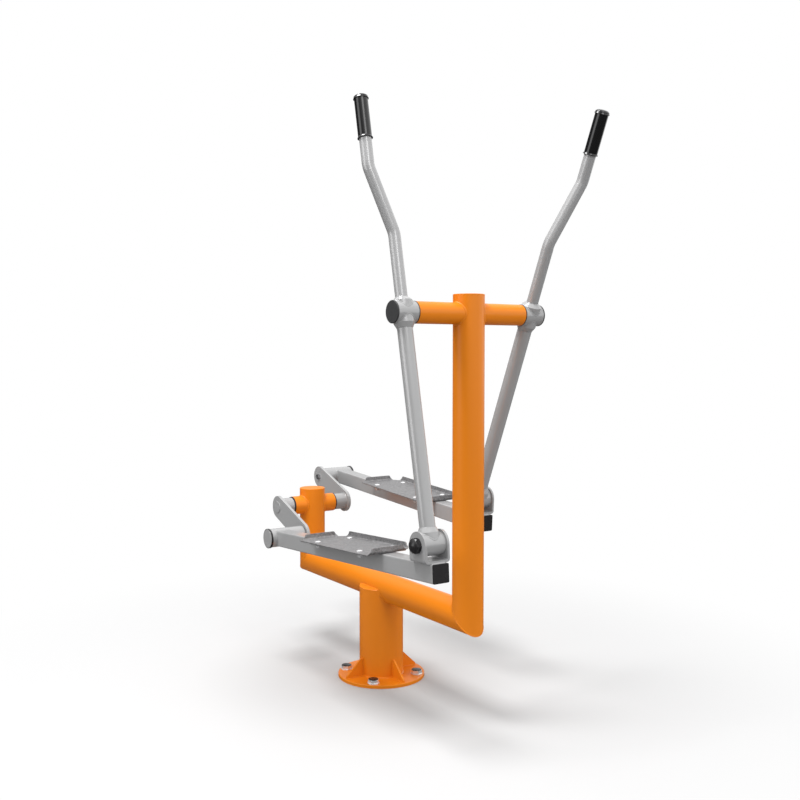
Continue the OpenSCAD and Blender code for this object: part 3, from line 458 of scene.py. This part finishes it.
def steps_for(length, welds):
    """How many grid steps show the ripples along a bead of that length."""
    return max(FEWEST_STEPS, int(round(length / welds.ripple * STEPS_PER_RIPPLE)))


def ring_path(centre, axis, radius, count):
    """A circle about an axis: centre + radius (cos t, sin t), with its outward normals."""
    axis = unit(axis)
    side = unit(np.cross(axis, OFF_AXIS))
    up = np.cross(axis, side)
    t = np.linspace(0.0, 2.0 * np.pi, count, endpoint=False)[:, None]
    out = np.cos(t) * side + np.sin(t) * up
    return np.asarray(centre) + radius * out, out


def branch_path(centre, branch, main, branch_r, main_r, count):
    """Where a branch tube leaves a main tube whose axis it crosses square on.

    With v along the main tube and w across it, the point at angle t round the branch is
    branch_r (cos t v + sin t w) + sqrt(main_r^2 - (branch_r sin t)^2) along the branch.
    Returns the path, the branch's normals and the main tube's normals."""
    branch, main = unit(branch), unit(main)
    w = np.cross(branch, main)
    t = np.linspace(0.0, 2.0 * np.pi, count, endpoint=False)[:, None]
    out = np.cos(t) * main + np.sin(t) * w
    height = np.sqrt(np.maximum(main_r ** 2 - (branch_r * np.sin(t)) ** 2, 0.0))
    path = branch_r * out + height * branch
    from_main = (branch_r * np.sin(t) * w + height * branch) / main_r
    return np.asarray(centre) + path, out, from_main


def turned_mesh(name, centre, axis, profile, count):
    """A closed profile of (radius, height) pairs turned about an axis.
    Its point (r, h) goes to centre + r (cos t side + sin t up) + h axis."""
    out = ring_path((0.0, 0.0, 0.0), axis, 1.0, count)[1]
    profile = np.asarray(profile, float)
    rings = (np.asarray(centre) + profile[None, :, :1] * out[:, None]
             + profile[None, :, 1:] * unit(axis))
    return grid_mesh(name, rings, True)


def button_mesh(name, centre, axis, profile, count):
    """A solid of round slices: one circle for each (radius, height) pair, with flat ends."""
    out = ring_path((0.0, 0.0, 0.0), axis, 1.0, count)[1]
    profile = np.asarray(profile, float)
    rings = (np.asarray(centre) + profile[:, None, :1] * out[None]
             + profile[:, None, 1:] * unit(axis))
    return grid_mesh(name, rings, False)


def line_path(start, end, count):
    """Evenly spaced points from start to end."""
    s = np.linspace(0.0, 1.0, count)[:, None]
    return np.asarray(start) * (1.0 - s) + np.asarray(end) * s


def same(vector, path):
    """One normal repeated for every point of a path."""
    return np.broadcast_to(unit(vector), path.shape).copy()


# Places of the carried-over parts, in metres, as in part.scad

FORWARD, LEFTWARD, UP = np.eye(3)
SOCKET_R = 0.0285
ARM_SOCKET_TOP = 0.043
HANDLE_SOCKET_TOP = 0.0395
LOWER_ARM_R = 0.0212
HANDLE_R = 0.01685
BAR_HALF = 0.025
BAR_CORNER = 0.004
PIVOT_REACH = 0.855
PIVOT_RISE = 0.070
CLEVIS_HALF_LENGTH = 0.036
CRANK_BOSS_R = 0.0285
CRANK_ARM_THICK = 0.010
GUSSET_HALF = 0.003
ANCHOR_CIRCLE_R = 0.115
ANCHOR_COUNT = 4


def half_size(node, axis):
    """Half the node's length along an axis."""
    low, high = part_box(node)
    return (high[axis] - low[axis]) / 2.0


def middle(node):
    """The middle of the node's box."""
    low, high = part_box(node)
    return (np.array(low) + np.array(high)) / 2.0


def arm_frame(side):
    """The arm's hub point, its foot pivot and its upward direction, in the arm's own plane."""
    hub = joint_point(f"{side}_arm_swing")
    foot = joint_point(f"{side}_treadle_pitch")
    return hub, foot, unit(hub - foot)


def bar_frame(side):
    """The treadle bar's rear point and its directions along and up.
    The foot pivot lies PIVOT_REACH along the bar and PIVOT_RISE above it."""
    foot = joint_point(f"{side}_treadle_pitch")
    rear = middle(f"{side}_rear_hub")
    rear[1] = foot[1]
    reach = foot - rear
    lean = math.atan2(reach[2], reach[0]) - math.atan2(PIVOT_RISE, PIVOT_REACH)
    ahead = np.array([math.cos(lean), 0.0, math.sin(lean)])
    return rear, ahead, np.array([-ahead[2], 0.0, ahead[0]])


def rounded_square_path(half, corner, count):
    """Points and outward normals round a square with round corners, in its own plane.
    Each quarter is a straight side and then a quarter circle of the corner's radius."""
    flat = half - corner
    per_side = max(2, count // 8)
    s = np.linspace(-1.0, 1.0, per_side, endpoint=False)
    t = np.linspace(0.0, np.pi / 2.0, per_side, endpoint=False)
    quarter = np.concatenate([
        np.stack([np.full_like(s, half), s * flat], axis=1),
        np.stack([flat + corner * np.cos(t), flat + corner * np.sin(t)], axis=1)])
    normal = np.concatenate([
        np.stack([np.ones_like(s), np.zeros_like(s)], axis=1),
        np.stack([np.cos(t), np.sin(t)], axis=1)])
    turn = np.array([[0.0, 1.0], [-1.0, 0.0]])
    points, normals = [quarter], [normal]
    for _ in range(3):
        points.append(points[-1] @ turn)
        normals.append(normals[-1] @ turn)
    return np.concatenate(points), np.concatenate(normals)


def seam_mesh(name, path, lean_a, lean_b, normal_a, normal_b, leg, height, across=8):
    """A ground-down butt weld over an edge between two flush surfaces.
    At s from -1 to 1 across the seam it lies |s| legs along surface A or B and
    height cos^2(pi s / 2) above it. A point sunk behind the edge closes the section."""
    s = np.linspace(-1.0, 1.0, across + 1)
    on_a = np.clip(-s, 0.0, 1.0)[None, :, None] * lean_a[:, None] * leg
    on_b = np.clip(s, 0.0, 1.0)[None, :, None] * lean_b[:, None] * leg
    blend = ((1.0 + s) / 2.0)[None, :, None]
    out = unit(normal_a[:, None] * (1.0 - blend) + normal_b[:, None] * blend)
    rise = height * np.cos(np.pi * s / 2.0)[None, :, None] ** 2
    rings = path[:, None] + on_a + on_b + out * rise
    sunk = path - unit(normal_a + normal_b) * leg * SEAM_SINK
    return grid_mesh(name, np.concatenate([rings, sunk[:, None]], axis=1), True)


# Beads and trim

GUSSET_SHARE = 0.7  # the gussets' beads, as a share of the frame's
CONE_SHARE = 0.6  # the beads at the arm bosses' cones, as a share of the arms'
SEAM_STEPS = 160
BAR_STEPS = 320
LID_STEPS = 64
SEAL_STEPS = 96
# Inset and rise of a lid's edge, as shares of its height
LID_SECTION = ((0.0, 0.0), (0.0, 0.6), (0.15, 0.85), (0.4, 1.0))
SEAL_FROM_TUBE = 0.2  # play beside the cross tube, as a share of the slit beside the hub
SEAL_INTO_HUB = 0.1  # play beside the hub, as a share of that slit
SEAL_UNDERCUT = 0.1  # height of the seal's inner step, as a share of its rise


def pedestal_bead(welds):
    """The bead round the pedestal's foot, on the flange."""
    flange_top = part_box("base_flange")[1][2]
    pedestal_r = half_size("pedestal_tube", 1)
    ring, out = ring_path((0.0, 0.0, flange_top), UP, pedestal_r,
                          steps_for(2.0 * np.pi * pedestal_r, welds))
    return [bead_mesh("bead", ring, out, same(UP, ring), welds.frame_leg, welds)]


def gusset_beads(welds):
    """Beads along the foot and the upright edge of each gusset, on both its faces.
    The gussets stand a quarter turn apart, and their faces lie GUSSET_HALF off their middle."""
    flange_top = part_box("base_flange")[1][2]
    pedestal_r = half_size("pedestal_tube", 1)
    gusset_reach = half_size("base_gussets", 0)
    gusset_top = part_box("base_gussets")[1][2]
    leg = GUSSET_SHARE * welds.frame_leg
    beads = []
    for quarter in range(4):
        turn = quarter * np.pi / 2.0
        out = np.array([math.cos(turn), math.sin(turn), 0.0])
        side = np.cross(UP, out)
        for hand in (-1.0, 1.0):
            face = hand * GUSSET_HALF * side
            corner = out * pedestal_r + face + UP * flange_top
            foot = line_path(corner, out * gusset_reach + face + UP * flange_top,
                             steps_for(gusset_reach - pedestal_r, welds))
            rise = line_path(corner, out * pedestal_r + face + UP * gusset_top,
                             steps_for(gusset_top - flange_top, welds))
            for path, carrier in ((foot, UP), (rise, out)):
                beads.append(bead_mesh("bead", path, same(carrier, path), same(side * hand, path),
                                       leg, welds, closed=False))
    return beads


def saddle_beads(welds):
    """Beads between the pedestal and the beam that lies in it.

    Along each side of the beam runs a straight bead at its widest height. Under the beam, before
    and behind the pedestal, the bead follows the point at angle t round the beam's underside:
    across = r sin t, down = r cos t and ahead = sqrt(R^2 - across^2), with r and R the radii of
    beam and pedestal."""
    beam = middle("frame_beam")
    tube_r = half_size("frame_beam", 1)
    pedestal_r = half_size("pedestal_tube", 1)
    leg = welds.frame_leg
    ledge = math.sqrt(pedestal_r ** 2 - tube_r ** 2)
    beads = []
    for hand in (-1.0, 1.0):
        edge = line_path((-ledge, hand * tube_r, beam[2]), (ledge, hand * tube_r, beam[2]),
                         steps_for(2.0 * ledge, welds))
        beads.append(bead_mesh("bead", edge, same(UP, edge), same(LEFTWARD * hand, edge),
                               leg, welds, closed=False))
        t = np.linspace(-np.pi / 2.0, np.pi / 2.0, steps_for(np.pi * tube_r, welds))
        across, drop = tube_r * np.sin(t), tube_r * np.cos(t)
        ahead = hand * np.sqrt(pedestal_r ** 2 - across ** 2)
        under = np.stack([ahead, across, beam[2] - drop], axis=1)
        on_pedestal = np.stack([ahead, across, 0.0 * across], axis=1) / pedestal_r
        on_beam = np.stack([0.0 * across, across, -drop], axis=1) / tube_r
        beads.append(bead_mesh("bead", under, on_pedestal, on_beam, leg, welds, closed=False))
    return beads


def cross_beads(tube, post, welds):
    """Beads on both sides of a post, where a tube runs square through it."""
    post_r, branch_r = half_size(post, 1), half_size(tube, 0)
    beads = []
    for hand in (-1.0, 1.0):
        path, on_tube, on_post = branch_path(
            middle(tube), LEFTWARD * hand, UP, branch_r, post_r,
            steps_for(2.0 * np.pi * branch_r, welds))
        beads.append(bead_mesh("bead", path, on_tube, on_post, welds.frame_leg, welds))
    return beads


def mitre_seams(welds):
    """Ground seams of the mitres between the beam and the posts.
    At angle t the seam lies at r (cos t, sin t, -cos t) from the corner of the tubes' axes."""
    beam = middle("frame_beam")
    tube_r = half_size("frame_beam", 1)
    t = np.linspace(0.0, 2.0 * np.pi, SEAM_STEPS, endpoint=False)
    out, side, none = np.cos(t), np.sin(t), np.zeros_like(t)
    on_beam = np.stack([none, side, -out], axis=1)
    seams = []
    for post, hand in (("front_post", 1.0), ("rear_post", -1.0)):
        corner = np.array([middle(post)[0], 0.0, beam[2]])
        path = corner + tube_r * np.stack([hand * out, side, -out], axis=1)
        on_post = np.stack([hand * out, side, none], axis=1)
        seams.append(seam_mesh("seam", path, same(FORWARD * -hand, path), same(UP, path),
                               on_beam, on_post, welds.seam_leg, welds.seam_height))
    return seams


def crank_beads(welds):
    """Beads between the crank arms and their bosses."""
    shaft = middle("crankshaft")
    inner = half_size("crankshaft", 1) - CRANK_ARM_THICK
    beads = []
    for hand in (-1.0, 1.0):
        ring, out = ring_path(shaft + LEFTWARD * hand * inner, LEFTWARD, CRANK_BOSS_R,
                              steps_for(2.0 * np.pi * CRANK_BOSS_R, welds))
        beads.append(bead_mesh("bead", ring, out, same(LEFTWARD * -hand, ring),
                               welds.arm_leg, welds))
    return beads


def arm_beads(side, welds):
    """Beads round the arm's bosses, on the hubs and at the ends of their cones."""
    hub_r = half_size("handle_cross_tube", 0)
    hub, foot, up = arm_frame(side)
    beads = []
    for centre, way, tube_r, top in ((hub, up, HANDLE_R, HANDLE_SOCKET_TOP),
                                     (hub, -up, LOWER_ARM_R, ARM_SOCKET_TOP),
                                     (foot, up, LOWER_ARM_R, ARM_SOCKET_TOP)):
        path, on_boss, on_hub = branch_path(centre, way, LEFTWARD, SOCKET_R, hub_r,
                                            steps_for(2.0 * np.pi * SOCKET_R, welds))
        beads.append(bead_mesh("bead", path, on_boss, on_hub, welds.arm_leg, welds))
        ring, out = ring_path(centre + way * top, way, tube_r,
                              steps_for(2.0 * np.pi * tube_r, welds))
        beads.append(bead_mesh("bead", ring, out, same(way, ring),
                               CONE_SHARE * welds.arm_leg, welds))
    return beads


def treadle_beads(side, welds):
    """Beads between the treadle bar and its rear hub, and round the clevis's foot.

    Round the bar's end, the point (u, v) of its rounded square lies sqrt(R^2 - v^2) ahead of
    the hub's axis, with R the hub's radius."""
    hub_r = half_size("handle_cross_tube", 0)
    rear, ahead, top = bar_frame(side)
    leg = welds.arm_leg
    flat, flat_out = rounded_square_path(BAR_HALF, BAR_CORNER, BAR_STEPS)
    reach = np.sqrt(hub_r ** 2 - flat[:, 1] ** 2)
    path = (rear + reach[:, None] * ahead + flat[:, :1] * LEFTWARD + flat[:, 1:] * top)
    on_bar = flat_out[:, :1] * LEFTWARD + flat_out[:, 1:] * top
    on_hub = (reach[:, None] * ahead + flat[:, 1:] * top) / hub_r
    beads = [bead_mesh("bead", path, on_bar, on_hub, leg, welds)]
    seat = rear + PIVOT_REACH * ahead + BAR_HALF * top
    for hand in (-1.0, 1.0):
        edge = line_path(seat - CLEVIS_HALF_LENGTH * ahead + hand * BAR_HALF * LEFTWARD,
                         seat + CLEVIS_HALF_LENGTH * ahead + hand * BAR_HALF * LEFTWARD,
                         steps_for(2.0 * CLEVIS_HALF_LENGTH, welds))
        beads.append(bead_mesh("bead", edge, same(LEFTWARD * hand, edge), same(-top, edge),
                               leg, welds, closed=False))
        end = seat + hand * CLEVIS_HALF_LENGTH * ahead
        flat_half = BAR_HALF - BAR_CORNER
        edge = line_path(end - flat_half * LEFTWARD, end + flat_half * LEFTWARD,
                         steps_for(2.0 * flat_half, welds))
        beads.append(bead_mesh("bead", edge, same(top, edge), same(ahead * hand, edge),
                               leg, welds, closed=False))
    return beads


def lid_meshes(trim):
    """A round lid with a rounded edge on each anchor nut."""
    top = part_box("anchor_nuts")[1][2]
    r, h = trim.lid_radius, trim.lid_height
    section = [(r - inset * h, rise * h) for inset, rise in LID_SECTION]
    lids = []
    for place in range(ANCHOR_COUNT):
        turn = (place + 0.5) * 2.0 * math.pi / ANCHOR_COUNT
        centre = (ANCHOR_CIRCLE_R * math.cos(turn), ANCHOR_CIRCLE_R * math.sin(turn), top)
        lids.append(button_mesh("lid", centre, UP, section, LID_STEPS))
    return lids


def seal_mesh(side, hand, trim):
    """The thin seal in the slit between an arm's hub and the cross tube."""
    hub_r = half_size("handle_cross_tube", 0)
    tube_end = half_size("handle_cross_tube", 1)
    hub_end = min(abs(y) for y in (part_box(f"{side}_arm_hub")[0][1],
                                   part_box(f"{side}_arm_hub")[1][1]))
    slit = hub_end - tube_end
    start, inner = tube_end + SEAL_FROM_TUBE * slit, hub_end - SEAL_INTO_HUB * slit
    outer, under = hub_r + trim.seal_rise, hub_r + SEAL_UNDERCUT * trim.seal_rise
    section = [(hub_r - trim.seal_width, start), (outer, start),
               (outer, start + trim.seal_width), (under, start + trim.seal_width),
               (under, inner), (hub_r - trim.seal_width, inner)]
    hub = joint_point(f"{side}_arm_swing") * (1.0, 0.0, 1.0)
    return turned_mesh("seal", hub, LEFTWARD * hand, section, SEAL_STEPS)


# Studio

SENSOR_WIDTH = 36.0
CAMERA_PLACE = (2.5747, -1.6448, 1.0391)
CAMERA_DROP, CAMERA_TURN = 2.911, 56.301  # degrees below level, and about the upright
TOP_LAMP = {"place": (0.0, -1.1, 3.6), "target": (0.0, 0.0, 0.2), "size": (1.1, 1.1)}
FRONT_LAMP = {"place": (3.0, -0.8, 3.0), "target": (0.3, 0.0, 1.4), "size": (1.3, 1.5)}
WALLS = ((-180, 0.02), (-124, 0.02), (-114, 1.1), (-90, 1.1), (-80, 0.04), (-54, 0.04),
         (-36, 0.38), (10, 0.6), (90, 0.66), (140, 0.35), (165, 0.02))
CEILING_FROM, CEILING_TO = 0.3, 0.75  # sines of the heights between which the ceiling begins


def area_lamp(name, place, target, size, power):
    """A soft rectangular lamp at a place, turned to a target."""
    data = bpy.data.lights.new(name, "AREA")
    data.shape = "RECTANGLE"
    data.size, data.size_y = size
    data.energy = power
    lamp = bpy.data.objects.new(name, data)
    lamp.location = place
    away = np.array(place) - np.array(target)
    turn = math.atan2(away[0], -away[1])
    tilt = math.atan2(math.hypot(away[0], away[1]), away[2])
    lamp.rotation_euler = (tilt, 0.0, turn)
    bpy.context.collection.objects.link(lamp)


def maths(tree, operation, *values):
    """The result of a Math node whose inputs are sockets or numbers."""
    node = tree.nodes.new("ShaderNodeMath")
    node.operation = operation
    for socket, value in zip(node.inputs, values):
        if isinstance(value, bpy.types.NodeSocket):
            tree.links.new(value, socket)
        else:
            socket.default_value = value
    return node.outputs["Value"]


def smooth_step(tree, value, low, high):
    """0 below low, 1 above high, and a smooth rise in between."""
    node = tree.nodes.new("ShaderNodeMapRange")
    node.interpolation_type = "SMOOTHSTEP"
    node.inputs["From Min"].default_value = low
    node.inputs["From Max"].default_value = high
    tree.links.new(value, node.inputs["Value"])
    return node.outputs["Result"]


def light_room(tree, studio):
    """The room that lights the trainer: an upright light panel on the right, dim walls, and a
    bright ceiling.

    WALLS holds the walls' brightness, as a share of the panel's, at azimuths atan2(y, x)."""
    place = tree.nodes.new("ShaderNodeTexCoord")
    parts = tree.nodes.new("ShaderNodeSeparateXYZ")
    tree.links.new(place.outputs["Generated"], parts.inputs["Vector"])
    azimuth = maths(tree, "ARCTAN2", parts.outputs["Y"], parts.outputs["X"])
    turn = maths(tree, "MULTIPLY_ADD", azimuth, 0.5 / math.pi, 0.5)
    ramp = tree.nodes.new("ShaderNodeValToRGB")
    tree.links.new(turn, ramp.inputs["Fac"])
    bands = ramp.color_ramp.elements
    while len(bands) < len(WALLS):
        bands.new(0.5)
    for band, (degrees, share) in zip(bands, WALLS):
        band.position = (degrees + 180.0) / 360.0
        band.color = (share, share, share, 1.0)
    walls = maths(tree, "MULTIPLY", ramp.outputs["Color"], studio.panel_glow)
    rise = smooth_step(tree, parts.outputs["Z"], CEILING_FROM, CEILING_TO)
    room = tree.nodes.new("ShaderNodeMix")
    tree.links.new(rise, room.inputs["Factor"])
    tree.links.new(walls, room.inputs["A"])
    room.inputs["B"].default_value = studio.ceiling_glow
    return room.outputs["Result"]


def share_for_ray(tree, gloss, diffuse):
    """1 for rays from the camera and through glass, a share for gloss and one for all others."""
    path = tree.nodes.new("ShaderNodeLightPath")
    straight = maths(tree, "MAXIMUM", path.outputs["Is Camera Ray"],
                     path.outputs["Is Transmission Ray"])
    mirrored = maths(tree, "MULTIPLY_ADD", path.outputs["Is Glossy Ray"], gloss - diffuse, diffuse)
    return maths(tree, "MAXIMUM", straight, mirrored)


def floor_material(studio):
    """A matt floor whose colour carries painted shade close to the base, standing in for the trainer's
    shadow there, and that turns into plain white light further out. Only a share of its light
    reaches the trainer, as from a darker floor. The wide floor isn't sampled as a lamp, which would
    leave grain on the tubes."""
    material = bpy.data.materials.new("PaleFloor")
    material.use_nodes = True
    material.cycles.emission_sampling = "NONE"
    tree = material.node_tree
    shader = tree.nodes["Principled BSDF"]
    shader.inputs["Roughness"].default_value = 0.9
    shader.inputs["Specular IOR Level"].default_value = 0.0
    shader.inputs["Emission Color"].default_value = (1.0, 1.0, 1.0, 1.0)
    place = tree.nodes.new("ShaderNodeTexCoord")
    distance = tree.nodes.new("ShaderNodeVectorMath")
    distance.operation = "LENGTH"
    tree.links.new(place.outputs["Object"], distance.inputs[0])
    fade = smooth_step(tree, distance.outputs["Value"], studio.fade_from, studio.fade_to)
    white = maths(tree, "MULTIPLY_ADD", fade, 1.0 - studio.floor_lift, studio.floor_lift)
    glow = maths(tree, "MULTIPLY", white,
                 share_for_ray(tree, studio.floor_gloss, studio.far_bounce))
    tree.links.new(glow, shader.inputs["Emission Strength"])
    # Painted shade: the floor's colour is darkened close to the base, where the trainer's shadow falls.
    halo = smooth_step(tree, distance.outputs["Value"], studio.painted_shade_from, studio.painted_shade_to)
    tone = maths(tree, "MULTIPLY_ADD", halo, 1.0 - studio.floor_painted_shade, studio.floor_painted_shade)
    near = maths(tree, "MULTIPLY", maths(tree, "SUBTRACT", 1.0, fade), tone)
    tint = tree.nodes.new("ShaderNodeVectorMath")
    tint.operation = "SCALE"
    tint.inputs[0].default_value = studio.floor_colour
    share = share_for_ray(tree, studio.floor_gloss, studio.near_bounce)
    tree.links.new(maths(tree, "MULTIPLY", near, share), tint.inputs["Scale"])
    tree.links.new(tint.outputs["Vector"], shader.inputs["Base Color"])
    return material


def studio_world(studio):
    """White for the camera and through glass. Gloss shows a share of it over the light room, and
    all other rays see the light room alone."""
    world = bpy.data.worlds.new("StudioRoom")
    world.use_nodes = True
    tree = world.node_tree
    view = tree.nodes.new("ShaderNodeMix")
    view.inputs["B"].default_value = 1.0
    tree.links.new(share_for_ray(tree, studio.room_gloss, 0.0), view.inputs["Factor"])
    tree.links.new(light_room(tree, studio), view.inputs["A"])
    light = tree.nodes["Background"]
    light.inputs["Color"].default_value = (1.0, 1.0, 1.0, 1.0)
    tree.links.new(view.outputs["Result"], light.inputs["Strength"])
    return world


def plane(name, corners):
    """A flat piece through four corners."""
    mesh = bpy.data.meshes.new(name)
    mesh.from_pydata([tuple(c) for c in corners], [], [(0, 1, 2, 3)])
    piece = bpy.data.objects.new(name, mesh)
    bpy.context.collection.objects.link(piece)
    return piece


# Operators


class TRAINER_OT_paint(Operator):
    """Give every carried-over part its finish"""

    bl_idname = "trainer.paint"
    bl_label = "Paint parts"

    def execute(self, context):
        FINISHES.update(make_finishes(context.scene.trainer_paints))
        slots = {row["node"]: row["material_slot"] for row in frame["record"]["subparts"]}
        for node, part in frame["nodes"].items():
            material = FINISHES[slots[node]]
            if part.material_slots:
                for slot in part.material_slots:
                    slot.material = material
            else:
                part.data.materials.append(material)
        return {"FINISHED"}


class TRAINER_OT_frame_welds(Operator):
    """Lay the weld beads of the fixed frame"""

    bl_idname = "trainer.frame_welds"
    bl_label = "Weld frame"

    def execute(self, context):
        welds = context.scene.trainer_welds
        beads = {
            "WeldPedestalFoot": pedestal_bead(welds),
            "WeldGussets": gusset_beads(welds),
            "WeldSaddle": saddle_beads(welds),
            "WeldCrossTube": cross_beads("handle_cross_tube", "front_post", welds),
            "WeldHousing": cross_beads("crank_housing", "rear_post", welds),
            "WeldMitres": mitre_seams(welds),
        }
        for name, meshes in beads.items():
            joined(name, meshes, "root", "orange_powder_coat")
        return {"FINISHED"}


class TRAINER_OT_moving_welds(Operator):
    """Lay the weld beads of the crank, the arms and the treadles"""

    bl_idname = "trainer.moving_welds"
    bl_label = "Weld moving parts"

    def execute(self, context):
        welds = context.scene.trainer_welds
        joined("WeldCrankBosses", crank_beads(welds), "crankset", "silver_powder_coat")
        for side in SIDES:
            joined(f"Weld{side.title()}Arm", arm_beads(side, welds), f"{side}_arm",
                   "silver_powder_coat")
            joined(f"Weld{side.title()}Treadle", treadle_beads(side, welds), f"{side}_treadle",
                   "silver_powder_coat")
        return {"FINISHED"}


class TRAINER_OT_trim(Operator):
    """Put the lids on the anchor nuts and the seals between arms and cross tube"""

    bl_idname = "trainer.trim"
    bl_label = "Add trim"

    def execute(self, context):
        trim = context.scene.trainer_trim
        joined("AnchorLids", lid_meshes(trim), "root", "black_plastic")
        for side, hand in SIDES.items():
            joined(f"HubSeal{side.title()}", [seal_mesh(side, hand, trim)], f"{side}_arm",
                   "black_rubber_seal")
        return {"FINISHED"}


class TRAINER_OT_studio(Operator):
    """Build the floor, the lamps, the background and the camera"""

    bl_idname = "trainer.studio"
    bl_label = "Build studio"

    def execute(self, context):
        studio = context.scene.trainer_studio
        reach = studio.floor_reach
        floor = plane("Floor", [(-reach, -reach, 0.0), (reach, -reach, 0.0),
                                (reach, reach, 0.0), (-reach, reach, 0.0)])
        floor.data.materials.append(floor_material(studio))
        context.scene.world = studio_world(studio)

        area_lamp("TopLamp", power=studio.top_power, **TOP_LAMP)
        area_lamp("FrontLamp", power=studio.front_power, **FRONT_LAMP)

        data = bpy.data.cameras.new("Camera")
        data.lens = studio.lens
        data.sensor_width = SENSOR_WIDTH
        camera = bpy.data.objects.new("Camera", data)
        camera.location = CAMERA_PLACE
        camera.rotation_euler = (math.radians(90.0 - CAMERA_DROP), 0.0, math.radians(CAMERA_TURN))
        context.collection.objects.link(camera)
        context.scene.camera = camera
        context.scene.view_settings.view_transform = "Standard"
        return {"FINISHED"}


class TRAINER_PT_panel(Panel):
    """Lists the steps that dress the trainer"""

    bl_idname = "TRAINER_PT_panel"
    bl_label = "Outdoor cross trainer"
    bl_space_type = "VIEW_3D"
    bl_region_type = "UI"
    bl_category = "Trainer"

    def draw(self, context):
        for step in STEPS:
            self.layout.operator(step.bl_idname)


STEPS = (TRAINER_OT_paint, TRAINER_OT_frame_welds, TRAINER_OT_moving_welds,
         TRAINER_OT_trim, TRAINER_OT_studio)
SETTINGS = {"trainer_paints": TrainerPaints, "trainer_welds": TrainerWelds,
            "trainer_trim": TrainerTrim, "trainer_studio": TrainerStudio}


def register():
    """Add the settings, the steps and the panel to Blender."""
    for group in SETTINGS.values():
        bpy.utils.register_class(group)
    for step in STEPS + (TRAINER_PT_panel,):
        bpy.utils.register_class(step)
    for name, group in SETTINGS.items():
        setattr(bpy.types.Scene, name, PointerProperty(type=group))


def unregister():
    """Take them out again."""
    for name in SETTINGS:
        delattr(bpy.types.Scene, name)
    for step in (TRAINER_PT_panel,) + STEPS[::-1]:
        bpy.utils.unregister_class(step)
    for group in SETTINGS.values():
        bpy.utils.unregister_class(group)


def main():
    """Dress the trainer step by step."""
    register()
    bpy.ops.trainer.paint()
    bpy.ops.trainer.frame_welds()
    bpy.ops.trainer.moving_welds()
    bpy.ops.trainer.trim()
    bpy.ops.trainer.studio()
    bpy.context.view_layer.update()
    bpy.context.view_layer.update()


if __name__ == "__main__":
    main()
